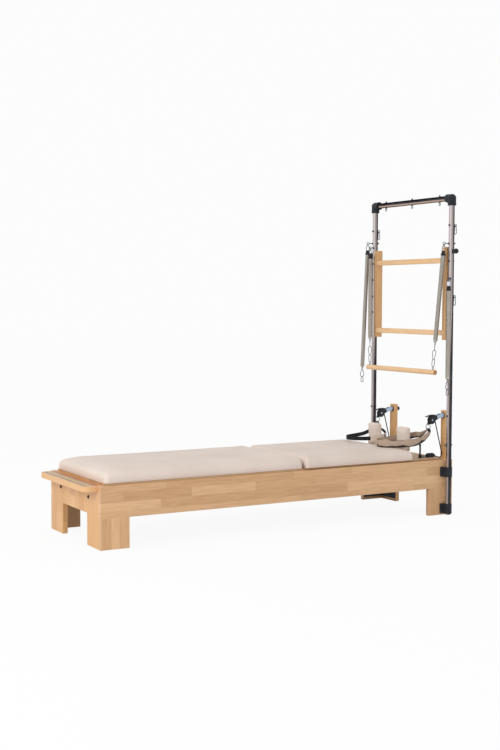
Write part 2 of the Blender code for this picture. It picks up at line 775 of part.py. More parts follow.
def rest_pad(side):
    """Upright padded shoulder rest, crowned towards the head."""
    y = sorted((side * REST_INNER, side * REST_OUTER))
    return cushion((x_at(REST_X), y[0], REST_BOTTOM), (x_at(REST_X + REST_THICK), y[1], REST_TOP),
                   REST_CROWN, REST_PULL, REST_EDGE, (2, 3, 4), segments=2)


def rest_bracket(side):
    """Steel angle behind a shoulder rest, with its peg down through the deck."""
    x, y = peg_place(side)
    back = x_at(REST_X + REST_THICK) - REST_SINK
    foot = BOARD_FACE
    top = REST_TOP - BRACKET_DROP
    outline = [(back - BRACKET_FOOT, foot), (back + BRACKET, foot), (back + BRACKET, top),
               (back, top), (back, foot + BRACKET), (back - BRACKET_FOOT, foot + BRACKET)]
    angle = plate([outline], y - BRACKET_HALF, y + BRACKET_HALF, "XZ")
    peg = rod((x, y, SUPPORT_BOTTOM - 0.008), (x, y, foot + BRACKET / 2), PEG, 12)
    return fuse(angle, peg)


def rope_lock(side):
    """Post that a rope starts from and the bored lock block beside it, on one base plate."""
    y = side * ROPE_Y
    start, end = x_at(CLEAT_X), x_at(CLEAT_X + CLEAT_LENGTH)
    base = box((x_at(ROPE_POST_X) - CLEAT_HALF, y - LOCK_HALF, BOARD_FACE),
               (end - LOCK_BASE, y + LOCK_HALF, BOARD_FACE + LOCK_BASE))
    top = ROPE_POST_TOP - BOARD_FACE
    profile = [(0, top), (ROPE_POST - 0.0015, top), (ROPE_POST, top - LOCK_BASE), (ROPE_POST, LOCK_BASE / 2),
               (0, LOCK_BASE / 2)]
    upright = turned(profile, (x_at(ROPE_POST_X), y, BOARD_FACE), (0, 0, 1), 10)
    block = box((start, y - CLEAT_HALF, BOARD_FACE + LOCK_BASE / 2),
                (end, y + CLEAT_HALF, BOARD_FACE + CLEAT_HEIGHT), LOCK_BASE)
    hole = rod((start - 0.01, y, ROPE_Z), (end + 0.01, y, ROPE_Z), ROPE + 4 * SEAT, 10)
    return cut(fuse(base, upright, block), hole)


LOOP_STATIONS = (
    # distance back from the ring, offset from the rope's plane towards the middle, drop, width, lean
    (0.0000, -0.013, 0.026, 0.022, 0.0),
    (0.0127, -0.016, 0.050, 0.026, 0.2),
    (0.0537, -0.014, 0.076, 0.044, 0.9),
    (0.1037, -0.014, 0.094, 0.048, 1.0),
    (0.1687, -0.006, 0.101, 0.048, 1.0),
    (0.2387, 0.016, 0.103, 0.048, 1.0),
    (0.2937, 0.055, 0.103, 0.048, 1.0),
    (0.3087, 0.105, 0.103, 0.048, 1.0),
    (0.2887, 0.155, 0.103, 0.048, 1.0),
    (0.2337, 0.192, 0.103, 0.048, 1.0),
    (0.1687, 0.209, 0.101, 0.048, 1.0),
    (0.1037, 0.210, 0.097, 0.048, 1.0),
    (0.0567, 0.178, 0.084, 0.046, 1.0),
    (0.0347, 0.120, 0.068, 0.040, 1.0),
    (0.0187, 0.055, 0.054, 0.030, 0.7),
    (0.0000, 0.013, 0.026, 0.022, 0.0),
)
LOOP_THICK = 0.005


def foot_loop(side):
    """Padded strap loop, hung from its ring and laid round the shoulder rest."""
    places = []
    for back, inward, drop, width, lean in LOOP_STATIONS:
        places.append(((x_at(LANE_X - back), side * (ROPE_Y - inward), RING_Z - drop), width, lean))
    top = ((x_at(LANE_X), side * ROPE_Y, RING_Z - RING + LOOP_THICK / 3), 0.020, 0.0)
    places.append(top)
    path = smooth_path([place for place, _, _ in places], 2, closed=True)
    sizes = smooth_path([(width, lean, 0) for _, width, lean in places], 2, closed=True)
    bm = bmesh.new()
    rows = []
    count = len(path)
    for i, (point, size) in enumerate(zip(path, sizes)):
        along = (path[(i + 1) % count] - path[i - 1]).normalized()
        lean = min(max(size.y, 0.0), 1.0)
        across = Vector((-1, 0, 0)).lerp(Vector((0, 0, 1)), lean)
        across = (across - along * across.dot(along)).normalized()
        out = along.cross(across)
        corners = [(-1, -1), (1, -1), (1, 1), (-1, 1)]
        rows.append([bm.verts.new(point + across * a * size.x / 2 + out * b * LOOP_THICK / 2)
                     for a, b in corners])
    for i in range(count):
        here, there = rows[i], rows[(i + 1) % count]
        for k in range(4):
            bm.faces.new((here[k], here[(k + 1) % 4], there[(k + 1) % 4], there[k]))
    bmesh.ops.recalc_face_normals(bm, faces=bm.faces)
    strap = new_object(bm)
    return fuse(strap, ring((x_at(LANE_X), side * ROPE_Y, RING_Z), RING, RING_WIRE, (0, 1, 0), 12))


# Tower


def heading(turn):
    """Level unit vector in the direction turn."""
    return Vector((math.cos(turn), math.sin(turn), 0))


def bolt_parts(side, z, turn, reach):
    """Shank, nut and eye of a bolt through a post."""
    centre = Vector((x_at(POST_X), side * POST_Y, z))
    out = heading(turn)
    radius, height = NUT
    shank = rod(centre - out * (POST_RADIUS + SHANK_TAIL), centre + out * (reach - EYE + EYE_WIRE / 2), SHANK, 6)
    nut = rod(centre - out * (POST_RADIUS + SEAT), centre - out * (POST_RADIUS + height), radius, 6)
    return [shank, nut, ring(centre + out * reach, EYE, EYE_WIRE, out.cross(Vector((0, 0, 1))))]


def spring_bolts():
    """Side, height, direction and reach of the eye bolts that carry the tower springs."""
    rows = {}
    for name, side in SIDES.items():
        rows["arm_spring_eye_" + name] = (side, ARM_SPRING_Z, math.pi + side * INWARD, ARM_EYE_REACH)
    rows["leg_spring_eye_near"] = (-1, NEAR_LEG_SPRING_Z, math.pi + OUTWARD, LEG_EYE_REACH)
    rows["leg_spring_eye_far"] = (1, FAR_LEG_SPRING_Z, math.pi - OUTWARD, LEG_EYE_REACH)
    return rows


def fixed_bolts(side):
    """Eye bolts without a spring, which stay joined to their post."""
    rows = [(SNAP_Z, 0.0, PLAIN_EYE_REACH), (LOW_EYE_Z, math.pi, PLAIN_EYE_REACH)]
    if side < 0:
        rows.append((SPARE_EYE_Z, 0.0, PLAIN_EYE_REACH))
    return rows


def post(side):
    """Bright steel upright of the tower with its fixed bolts, drilled for the spring bolts."""
    base = Vector((x_at(POST_X), side * POST_Y, 0))
    bar = tube_between(base + Vector((0, 0, POST_BOTTOM)),
                       base + Vector((0, 0, CROSSBAR_Z - ELBOW_BORE_STOP - SEAT)),
                       POST_RADIUS, POST_RADIUS - POST_WALL)
    pivot = Vector((0, 0, LADDER_PIVOT_Z))
    holes = [rod(base + pivot - Vector((0, 0.03, 0)), base + pivot + Vector((0, 0.03, 0)),
                 PIVOT + SEAT, 12)]
    for bolt_side, z, turn, _ in spring_bolts().values():
        if bolt_side == side:
            centre = base + Vector((0, 0, z))
            holes.append(rod(centre - heading(turn) * 0.03, centre + heading(turn) * 0.03, SHANK + SEAT, 6))
    for row in fixed_bolts(side):
        fuse(bar, *bolt_parts(side, *row))
    return cut(bar, *holes)


def spring_eye(side, z, turn, reach):
    """Eye bolt through a post that a tower spring hangs on."""
    return fuse(*bolt_parts(side, z, turn, reach))


def crossbar():
    """Bright top bar of the tower with the three eye hooks below it."""
    reach = POST_Y - ELBOW_BORE_STOP - SEAT
    x = x_at(POST_X)
    bar = tube_between((x, -reach, CROSSBAR_Z), (x, reach, CROSSBAR_Z), POST_RADIUS,
                       POST_RADIUS - POST_WALL)
    eye_z = CROSSBAR_Z - POST_RADIUS - EYE_DROP - EYE - EYE_WIRE
    top = CROSSBAR_Z + POST_RADIUS
    radius, height = NUT
    for y in (-CROSSBAR_HOOK_Y, 0.0, CROSSBAR_HOOK_Y):
        fuse(bar, rod((x, y, eye_z + EYE - EYE_WIRE / 3), (x, y, top + SHANK_TAIL), SHANK, 6),
             rod((x, y, top - 0.001), (x, y, top + height), radius, 6),
             ring((x, y, eye_z), EYE, EYE_WIRE, (1, 0, 0)))
    return bar


def elbow(side):
    """Cast black corner that holds the top of a post and an end of the crossbar."""
    corner = Vector((x_at(POST_X), side * POST_Y, CROSSBAR_Z))
    down, inward = Vector((0, 0, -1)), Vector((0, -side, 0))
    bm = bmesh.new()
    bmesh.ops.create_uvsphere(bm, u_segments=14, v_segments=7, radius=ELBOW + 0.001)
    body = new_object(bm, corner)
    bore = bore_for(POST_RADIUS, TUBE_SIDES)
    for way in (down, inward):
        fuse(body, rod(corner - way * 0.003, corner + way * ELBOW_REACH, ELBOW))
    for way in (down, inward):
        cut(body, rod(corner + way * ELBOW_BORE_STOP, corner + way * (ELBOW_REACH + 0.01), bore,
                      TUBE_SIDES))
    return body


def post_clamp(side, z):
    """Black saddle clamp that holds a post to the side plank."""
    face = HALF + SEAT
    flange = face + CLAMP_FLANGE
    wall = POST_RADIUS + SEAT + CLAMP_WALL
    outline = [(-CLAMP_HALF, face), (CLAMP_HALF, face), (CLAMP_HALF, flange), (wall, flange)]
    outline += circle((0, POST_Y), wall, 9, 0.0, math.pi)
    outline += [(-wall, flange), (-CLAMP_HALF, flange)]
    hole = circle((0, POST_Y), bore_for(POST_RADIUS, TUBE_SIDES), TUBE_SIDES)
    loops = [[(x_at(POST_X) + x, side * y) for x, y in loop] for loop in (outline, hole)]
    return plate(loops, z - CLAMP_HEIGHT / 2, z + CLAMP_HEIGHT / 2, "XY")


# Ladder


def stile(side):
    """Ladder side rail, pocketed for the rungs and bored for its pivot."""
    x = x_at(POST_X)
    y = side * STILE_Y
    rail = box((x - STILE_DEPTH / 2, y - STILE_WIDTH / 2, STILE_BOTTOM),
               (x + STILE_DEPTH / 2, y + STILE_WIDTH / 2, STILE_TOP), EDGE)
    pockets = []
    for z in RUNG_Z:
        inner = y - side * (STILE_WIDTH / 2 + 0.01)
        span = sorted((inner, y + side * SEAT))
        pockets.append(box((x - STILE_DEPTH / 2 - 0.01, span[0], z - RUNG_HEIGHT / 2 - SEAT),
                           (x - STILE_DEPTH / 2 + RUNG_DEPTH + SEAT, span[1],
                            z + RUNG_HEIGHT / 2 + SEAT)))
    bore = rod((x, y - side * 0.008, LADDER_PIVOT_Z), (x, y + side * 0.03, LADDER_PIVOT_Z),
               PIVOT + SEAT, 12)
    return cut(rail, *pockets, bore)


def rung(z):
    """Flat rung let into the front of both stiles."""
    x = x_at(POST_X) - STILE_DEPTH / 2
    return box((x, -STILE_Y, z - RUNG_HEIGHT / 2), (x + RUNG_DEPTH, STILE_Y, z + RUNG_HEIGHT / 2), RUNG_EDGE)



def ladder_knob(side):
    """Round black knob on the bolt that the ladder hangs on, with the spacer beside the stile."""
    start = POST_RADIUS + SEAT
    centre = KNOB_NECK + 0.82 * KNOB_RADIUS
    profile = [(0, centre + KNOB_RADIUS)]
    for i in range(1, 6):
        angle = math.radians(90 - i * 28)
        profile.append((KNOB_RADIUS * math.cos(angle), centre + KNOB_RADIUS * math.sin(angle)))
    spacer_end = start + STILE_GAP - 2 * SEAT
    tip = POST_RADIUS + STILE_GAP + STILE_WIDTH / 2
    profile += [(SPACER, KNOB_NECK - 0.001), (SPACER, start), (PIVOT, start), (PIVOT, -start),
                (SPACER, -start), (SPACER, -spacer_end), (PIVOT, -spacer_end), (PIVOT, -tip), (0, -tip)]
    return turned(profile, (x_at(POST_X), side * POST_Y, LADDER_PIVOT_Z), (0, side, 0), 12)


# Roll-down bar and springs


def hang_point(side, z, turn, reach):
    """Middle of the top wire of a ring that hangs in the eye of a spring bolt."""
    out = heading(turn) * reach
    rise = EYE_WIRE + LINK_WIRE + LINK - EYE
    return Vector((x_at(POST_X), side * POST_Y, z + rise)) + out


def coil(name, start, end):
    """A wound wire between two places, with straight ends that run into the caps."""
    along = (end - start).normalized()
    first = along.cross(Vector((0, 1, 0))).normalized()
    second = along.cross(first)
    lead = 2 * COIL_WIRE
    radius = COIL - COIL_WIRE
    pitch = ((end - start).length - 2 * lead) / CURLS
    points = [start - along * lead + first * radius]
    for i in range(8 * CURLS + 1):
        angle = 2 * math.pi * i / 8
        offset = first * radius * math.cos(angle) + second * radius * math.sin(angle)
        points.append(start + along * (lead + pitch * i / 8) + offset)
    points.append(end + along * lead + first * radius)
    least = min((point - other).length for i, point in enumerate(points) for other in points[i + 4:])
    print(name, "least gap of the wire to itself", round(1000 * (least - 2 * COIL_WIRE), 2), "mm")
    return swept(points, COIL_WIRE)


def sprung(name, top, along, normal, length):
    """A tower spring from its hanging ring down: ring, cap, coil, cap and ring. Gives its lower end."""
    cap_start = top + along * (2 * RING_HALF - RING_SINK)
    coil_start = cap_start + along * UPPER_CAP
    coil_end = coil_start + along * length
    cap_end = coil_end + along * CAP_LENGTH
    body = coil(name, coil_start, coil_end)
    low_ring = cap_end + along * (RING_HALF - RING_SINK)
    fuse(body, rod(cap_start, coil_start, CAP_RADIUS, CAP_SIDES),
         rod(coil_end, cap_end, CAP_RADIUS, CAP_SIDES),
         ring(top + along * RING_HALF, RING_HALF, LINK_WIRE, normal),
         ring(low_ring, RING_HALF, LINK_WIRE, (1, 0, 0)))
    return body, low_ring + along * RING_HALF


def chain(body, top, bottom, count):
    """Oval links joined in a row to a spring's lower end, each turned a quarter."""
    span = bottom - top
    stretch = span.length / count - 2 * LINK_HALF
    for i in range(count):
        normal = (1, 0, 0) if i % 2 else (0, 1, 0)
        fuse(body, ring(top + span * (i + 0.5) / count, LINK_HALF, LINK_WIRE, normal, 10, stretch))


def bar_x():
    """X of the roll-down bar, drawn a little towards the bed from the eyes that its springs hang in."""
    return hang_point(*spring_bolts()["arm_spring_eye_near"]).x - BAR_FORWARD


def arm_spring(name, side):
    """Arm spring down to its screw eye in the roll-down bar."""
    bolt = spring_bolts()[name.replace("spring", "spring_eye")]
    top = hang_point(*bolt)
    surface = BAR_Z + BAR_RADIUS
    eye = Vector((bar_x(), side * BAR_EYE_Y, surface + BAR_EYE_LIFT + BAR_EYE))
    along = (eye - top).normalized()
    body, low = sprung(name, top, along, heading(bolt[2]), ARM_COIL)
    chain(body, low, eye + Vector((0, 0, BAR_EYE)), 3)
    return fuse(body, ring(eye, BAR_EYE, LINK_WIRE, (1, 0, 0)),
                rod((eye.x, eye.y, surface - BAR_EYE_DEPTH), (eye.x, eye.y, eye.z - BAR_EYE), SHANK, 6))


def leg_spring(name, bolt, length, lean):
    """Leg spring that hangs free, with the snap hook on its lower end."""
    down = Vector((-lean, 0, -1)).normalized()
    body, low = sprung(name, hang_point(*bolt), down, heading(bolt[2]), length)
    chain(body, low, low + down * SNAP_LENGTH, 1)
    return body


def roll_down_bar():
    """Wooden dowel that hangs between the two arm springs, bored for their screw eyes."""
    x = bar_x()
    half = BAR_LENGTH / 2
    round_end = BAR_RADIUS - BAR_EDGE
    profile = [(0, half), (round_end, half), (BAR_RADIUS, half - BAR_EDGE),
               (BAR_RADIUS, BAR_EDGE - half), (round_end, -half), (0, -half)]
    bar = turned(profile, (x, 0, BAR_Z), (0, 1, 0), 20)
    bores = [rod((x, side * BAR_EYE_Y, BAR_Z + BAR_RADIUS - BAR_EYE_DEPTH - SEAT),
                 (x, side * BAR_EYE_Y, BAR_Z + BAR_RADIUS + 0.01), SHANK + SEAT, 6)
             for side in SIDES.values()]
    return cut(bar, *bores)


# Assembly


def build_bed():
    """Frame, tracks and what is fixed to them."""
    for name, side in SIDES.items():
        publish(side_plank(side), "side_plank_" + name, wood("rail"))
        publish(track(side), "track_" + name, ALUMINIUM)
    publish(end_board(0, RAIL_TOP - PLATFORM_THICK - SEAT), "foot_end_board", wood("light"))
    publish(end_board(FRAME_LENGTH - BOARD, RAIL_TOP), "tower_end_board", wood("light"))
    publish(standing_platform(), "standing_platform", wood("shade"))
    publish(cross_member(), "cross_member", wood("shade"))
    publish(spring_bar(), "spring_bar", STEEL)


def build_rope_gear():
    """Risers, pulleys and ropes."""
    for name, side in SIDES.items():
        publish(riser(side), "riser_" + name, wood("light"))
        publish(rope(side), "rope_" + name, BLACK, smooth=True)
        publish(pulley_bracket(side), "pulley_bracket_" + name, CHROME)
        wheel = publish(pulley_wheel(side), "pulley_wheel_" + name, BLACK, smooth=True)
        ride(joint_axis("pulley_axis_" + name, (x_at(PULLEY_X), side * ROPE_Y, PULLEY_Z)), wheel)


def pad(start, end, pieces):
    """Long flat cushion across the bed."""
    return cushion((x_at(start), -PAD_HALF, PAD_BOTTOM), (x_at(end), PAD_HALF, PAD_BOTTOM + PAD_THICK),
                   PAD_CROWN, PAD_PULL, PAD_EDGE, (pieces, 4, 1))


def build_carriage():
    """Carriage with its wheels, springs, shoulder rests, rope locks and foot loops."""
    riding = [publish(carriage_frame(), "carriage_frame", wood("shade")),
              publish(carriage_board(), "carriage_board", wood("light")),
              publish(pad(CARRIAGE_START, PAD_END, 6), "carriage_pad", PAD, smooth=True)]
    for number, y in enumerate(SPRING_Y, 1):
        riding.append(publish(reformer_spring(y), f"reformer_spring_{number}", STEEL))
    for name, side in SIDES.items():
        riding.append(publish(rope_lock(side), "rope_lock_" + name, BLACK))
        riding.append(publish(foot_loop(side), "foot_loop_" + name, PAD))
        rest = publish(rest_pad(side), "shoulder_rest_" + name, PAD, smooth=True)
        bracket = publish(rest_bracket(side), "shoulder_bracket_" + name, BLACK)
        ride(joint_axis("shoulder_lift_" + name, (*peg_place(side), SUPPORT_TOP)), rest, bracket)
    for name, place in (("front", FRONT_AXLE_X), ("rear", REAR_AXLE_X)):
        pair = publish(wheelset(place), name + "_wheelset", BLACK, smooth=True)
        ride(joint_axis(name + "_wheel_axis", (x_at(place), 0, AXLE_Z)), pair)
    ride(joint_axis("carriage_slide", (x_at(CARRIAGE_END), 0, AXLE_Z)), *riding)


def build_mat_insert():
    """Loose padded board that fills the bed beside the carriage."""
    reach = PAD_HALF - SUPPORT_INSET
    base = box((x_at(INSERT_START + SUPPORT_INSET), -reach, RAIL_TOP + SEAT),
               (x_at(SEAM - SUPPORT_INSET), reach, SUPPORT_TOP))
    insert = [publish(pad(INSERT_START, SEAM, 8), "mat_insert_pad", PAD, smooth=True),
              publish(base, "mat_insert_board", wood("shade"))]
    ride(joint_axis("mat_insert_lift", (x_at(INSERT_START), 0, RAIL_TOP)), *insert)


def build_tower():
    """Posts, crossbar, elbows, clamps and spring bolts."""
    for name, side in SIDES.items():
        publish(post(side), "tower_post_" + name, CHROME, smooth=True)
        publish(elbow(side), "elbow_" + name, BLACK, smooth=True)
        for level, z in zip(("low", "high"), CLAMP_Z):
            publish(post_clamp(side, z), f"post_clamp_{name}_{level}", BLACK)
    publish(crossbar(), "tower_crossbar", CHROME, smooth=True)
    for name, row in spring_bolts().items():
        publish(spring_eye(*row), name, STEEL)


def build_ladder():
    """Ladder between the posts, with the two knobs that it hangs on."""
    ladder = []
    for name, side in SIDES.items():
        ladder.append(publish(stile(side), "ladder_stile_" + name, wood("shade")))
        knob = publish(ladder_knob(side), "ladder_knob_" + name, BLACK, smooth=True)
        ride(joint_axis("ladder_knob_axis_" + name, (x_at(POST_X), side * POST_Y, LADDER_PIVOT_Z)), knob)
    for name, z in zip(("upper", "lower"), RUNG_Z):
        ladder.append(publish(rung(z), f"ladder_{name}_rung", wood("light")))
    ride(joint_axis("ladder_axis", (x_at(POST_X), 0, LADDER_PIVOT_Z)), *ladder)


def build_springs():
    """Roll-down bar on its arm springs, and the two leg springs."""
    bolts = spring_bolts()
    swinging = [publish(roll_down_bar(), "roll_down_bar", wood("light"), smooth=True)]
    for name, side in SIDES.items():
        spring = arm_spring("arm_spring_" + name, side)
        swinging.append(publish(spring, "arm_spring_" + name, STEEL, smooth=True))
    axis = hang_point(*bolts["arm_spring_eye_far"])
    ride(joint_axis("roll_down_axis", (axis.x, 0, axis.z)), *swinging)
    for name, length, lean in (("near", NEAR_LEG_COIL, 0.0), ("far", FAR_LEG_COIL, FAR_LEG_LEAN)):
        row = bolts["leg_spring_eye_" + name]
        spring = leg_spring("leg_spring_" + name, row, length, lean)
        publish(spring, "leg_spring_" + name, STEEL, smooth=True)
        ride(joint_axis("leg_spring_axis_" + name, hang_point(*row)), spring)


build_bed()
build_rope_gear()
build_carriage()
build_mat_insert()
build_tower()
build_ladder()
build_springs()
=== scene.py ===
"""Looks of a pilates reformer with tower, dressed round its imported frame.

Metres, +Z up. X runs from the standing platform to the tower, and Y across the bed, away from the camera.
"""

import json
import logging
import math
from collections.abc import Callable, Iterable, Sequence
from dataclasses import dataclass, field
from enum import Enum, IntEnum

import bmesh
import bpy
from mathutils import Matrix, Vector
from mathutils.bvhtree import BVHTree

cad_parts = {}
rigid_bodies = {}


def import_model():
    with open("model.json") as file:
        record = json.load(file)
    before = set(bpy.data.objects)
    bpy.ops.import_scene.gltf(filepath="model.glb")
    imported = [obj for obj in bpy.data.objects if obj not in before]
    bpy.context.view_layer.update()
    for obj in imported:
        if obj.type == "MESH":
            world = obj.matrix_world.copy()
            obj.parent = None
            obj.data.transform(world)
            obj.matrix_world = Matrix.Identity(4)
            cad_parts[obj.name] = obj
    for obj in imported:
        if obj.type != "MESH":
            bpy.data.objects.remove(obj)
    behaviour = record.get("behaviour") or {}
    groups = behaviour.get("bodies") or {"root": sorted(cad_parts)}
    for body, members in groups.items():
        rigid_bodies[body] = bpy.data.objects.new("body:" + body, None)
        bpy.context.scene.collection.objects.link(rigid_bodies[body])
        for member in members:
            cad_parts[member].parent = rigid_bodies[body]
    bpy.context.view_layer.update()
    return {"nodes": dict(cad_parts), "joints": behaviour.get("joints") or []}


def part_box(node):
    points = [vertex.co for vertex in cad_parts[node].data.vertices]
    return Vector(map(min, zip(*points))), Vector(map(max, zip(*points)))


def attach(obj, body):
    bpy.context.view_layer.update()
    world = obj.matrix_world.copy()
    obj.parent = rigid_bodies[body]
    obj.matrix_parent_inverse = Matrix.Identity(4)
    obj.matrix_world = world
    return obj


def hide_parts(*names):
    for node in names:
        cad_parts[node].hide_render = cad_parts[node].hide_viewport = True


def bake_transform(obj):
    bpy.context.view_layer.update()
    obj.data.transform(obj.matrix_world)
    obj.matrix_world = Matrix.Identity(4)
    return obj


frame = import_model()
LOG = logging.getLogger("reformer")

Colour = tuple[float, float, float]
Stops = tuple[tuple[float, Colour], ...]
Profile = Sequence[tuple[float, float]]
Mesh = bpy.types.Mesh
Object = bpy.types.Object
Socket = bpy.types.NodeSocket

UP, DOWN = Vector((0.0, 0.0, 1.0)), Vector((0.0, 0.0, -1.0))
ALONG, ACROSS = Vector((1.0, 0.0, 0.0)), Vector((0.0, 1.0, 0.0))


class Side(Enum):
    """A long side of the bed, as the sign of its Y."""

    NEAR = -1
    FAR = 1

    @property
    def label(self) -> str:
        """The side's name as the nodes have it."""
        return self.name.lower()

    @property
    def out(self) -> Vector:
        """The way from the middle of the bed to the side."""
        return ACROSS * self.value


class Axis(IntEnum):
    """An axis of the row frame, by its place in a vector."""

    X = 0
    Y = 1
    Z = 2


def pivot(joint: str) -> Vector:
    """A point on the axis of a joint."""
    return Vector(next(row for row in frame["joints"] if row["name"] == joint)["pos_m"])


def middle(node: str) -> Vector:
    """The middle of a CAD node's box."""
    low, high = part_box(node)
    return (low + high) / 2


def add_object(name: str, data: bpy.types.ID) -> Object:
    """A new object in the scene.

    Args:
        name: Name of the object.
        data: What it holds.

    Returns:
        The object.
    """
    made = bpy.data.objects.new(name, data)
    bpy.context.scene.collection.objects.link(made)
    return made


def baked(made: Object) -> Mesh:
    """The mesh that an object's modifiers make.

    Args:
        made: The object.

    Returns:
        A mesh of its own.
    """
    graph = bpy.context.evaluated_depsgraph_get()
    return bpy.data.meshes.new_from_object(made.evaluated_get(graph), preserve_all_data_layers=True,
                                           depsgraph=graph)


# Node trees


class Tree(Enum):
    """A node group: four surface effects that finishes share, and three that make what repeats."""

    GRAIN = "laminated grain"
    PATCHES = "uneven patches"
    PEBBLE = "fine pebble"
    WEAVE = "plain weave"
    COPIES = "copies at places"
    STITCHES = "stitches along a line"
    COIL = "wound wire"

    def group(self) -> bpy.types.NodeTree:
        """The node group, made when it is first used."""
        return bpy.data.node_groups.get(self.value) or BUILDERS[self]()


class Graph:
    """Adds nodes to a tree and joins their sockets."""

    def __init__(self, tree: bpy.types.NodeTree) -> None:
        """Keeps the tree that the nodes go into."""
        self.tree = tree

    def node(self, kind: str, inputs: dict | None = None, **settings: object) -> bpy.types.Node:
        """Adds a node.

        Args:
            kind: Type name of the node.
            inputs: Values or sockets for its inputs, by name or number.
            settings: Properties of the node.

        Returns:
            The node.
        """
        made = self.tree.nodes.new(kind)
        for key, value in settings.items():
            setattr(made, key, value)
        for key, value in (inputs or {}).items():
            self.feed(made.inputs[key], value)
        return made

    def out(self, kind: str, inputs: dict | None = None, **settings: object) -> Socket:
        """The first output of a new node."""
        return self.node(kind, inputs, **settings).outputs[0]

    def feed(self, socket: Socket, value: object) -> None:
        """Links a socket to an input, or sets its value.

        Args:
            socket: The input.
            value: An output socket, or a plain value.
        """
        if isinstance(value, Socket):
            self.tree.links.new(value, socket)
        else:
            socket.default_value = (*value, 1.0) if socket.type == "RGBA" else value

    def math(self, operation: str, *values: object) -> Socket:
        """The result of a Math node on values or sockets."""
        return self.out("ShaderNodeMath", dict(enumerate(values)), operation=operation)

    def mix(self, factor: object, first: object, second: object, way: str = "MIX") -> Socket:
        """A colour between two colours, or another blend of them."""
        inputs = {0: factor, 6: first, 7: second}
        return self.node("ShaderNodeMix", inputs, data_type="RGBA", blend_type=way).outputs[2]

    def ramp(self, share: Socket, stops: Stops, kind: str = "LINEAR") -> Socket:
        """A colour taken from a row of places and colours.

        Args:
            share: Place on the row.
            stops: The places with their colours.
            kind: How the colours pass over into each other.

        Returns:
            The colour's socket.
        """
        made = self.node("ShaderNodeValToRGB", {0: share})
        made.color_ramp.interpolation = kind
        for place, _ in stops[1:-1]:
            made.color_ramp.elements.new(place)
        for element, (place, colour) in zip(made.color_ramp.elements, stops):
            element.position, element.color = place, (*colour, 1.0)
        return made.outputs[0]

    def split(self, vector: Socket) -> list[Socket]:
        """The X, Y and Z of a vector."""
        return list(self.node("ShaderNodeSeparateXYZ", {0: vector}).outputs)

    def join(self, *parts: object) -> Socket:
        """A vector made of three numbers."""
        return self.out("ShaderNodeCombineXYZ", dict(enumerate(parts)))

    def noise(self, vector: object, scale: object, detail: float = 2.0) -> Socket:
        """A smooth random share over a vector."""
        return self.out("ShaderNodeTexNoise", {"Vector": vector, "Scale": scale, "Detail": detail})

    def effect(self, kind: Tree, **inputs: object) -> bpy.types.bpy_prop_collection:
        """The outputs of a shared effect."""
        return self.node("ShaderNodeGroup", inputs, node_tree=kind.group()).outputs

    def aimed(self, way: Socket) -> Socket:
        """The rotation that turns Z to a direction."""
        return self.out("FunctionNodeAlignRotationToVector", {"Vector": way}, axis="Z")


class Group(Graph):
    """A node group under construction, with its named inputs and outputs."""

    def __init__(self, kind: Tree, outputs: Sequence[str] = (), **inputs: object) -> None:
        """Makes the group, its interface and its end nodes.

        Args:
            kind: Which group.
            outputs: Names of the numbers that a surface effect gives, or none for geometry.
            inputs: Each input's default number, or else the name of its socket type.
        """
        tree, socket = ("ShaderNodeTree", "NodeSocketFloat") if outputs else ("GeometryNodeTree",
                                                                              "NodeSocketGeometry")
        super().__init__(bpy.data.node_groups.new(kind.value, tree))
        for label, value in inputs.items():
            number = {float: "Float", int: "Int"}.get(type(value))
            made = self.tree.interface.new_socket(label, in_out="INPUT", socket_type=f"NodeSocket{number or value}")
            if number:
                made.default_value = value
        for label in outputs or ("Geometry",):
            self.tree.interface.new_socket(label, in_out="OUTPUT", socket_type=socket)
        self.given = list(self.node("NodeGroupInput").outputs)[:len(inputs)]
        self.result = self.node("NodeGroupOutput").inputs

    def give(self, **values: Socket) -> bpy.types.NodeTree:
        """Links sockets to the group's outputs, and ends the group.

        Args:
            values: Sockets by the names of the outputs.

        Returns:
            The node group.
        """
        for label, value in values.items():
            self.feed(self.result[label], value)
        return self.tree

    def dress(self, geometry: Socket, material: Socket) -> bpy.types.NodeTree:
        """Ends a geometry group with real faces and their material."""
        real = self.out("GeometryNodeRealizeInstances", {0: geometry})
        return self.give(Geometry=self.out("GeometryNodeSetMaterial", {"Geometry": real, "Material": material}))


def grain_group() -> bpy.types.NodeTree:
    """Wood in strips of finger-jointed blocks: a tone for each block, fibres, and the glue lines.

    Returns:
        The node group.
    """
    g = Group(Tree.GRAIN, ("Tone", "Fibre", "Line"), Along=0.0, Across=0.0, Depth=0.0, Strip=0.05, Block=0.4)
    along, across, depth, strip, block = g.given
    rows = g.math("DIVIDE", across, strip)
    row = g.math("FLOOR", rows)
    shift = g.out("ShaderNodeTexWhiteNoise", {"W": row}, noise_dimensions="1D")
    blocks = g.math("ADD", g.math("DIVIDE", along, block), shift)
    tone = g.out("ShaderNodeTexWhiteNoise", {"Vector": g.join(row, g.math("FLOOR", blocks), 0.5)},
                 noise_dimensions="3D")
    moved = g.math("ADD", along, g.math("MULTIPLY", tone, 7.0))
    fine, wide = (g.join(g.math("MULTIPLY", moved, run), g.math("MULTIPLY", across, cut),
                         g.math("MULTIPLY", depth, cut)) for run, cut in ((9.0, 330.0), (1.7, 24.0)))
    rings = g.math("SINE", g.math("MULTIPLY", g.noise(wide, 1.0), 46.0))
    fibre = g.math("ADD", g.math("MULTIPLY", g.noise(fine, 1.0, 3.0), 0.72), g.math("MULTIPLY", rings, 0.14))
    lines = [g.math("GREATER_THAN", g.math("ABSOLUTE", g.math("SUBTRACT", g.math("FRACT", share), 0.5)),
                    g.math("SUBTRACT", 0.5, g.math("DIVIDE", 0.00035, size)))
             for share, size in ((rows, strip), (blocks, block))]
    return g.give(Tone=tone, Fibre=g.math("ADD", fibre, 0.14), Line=g.math("MAXIMUM", *lines))


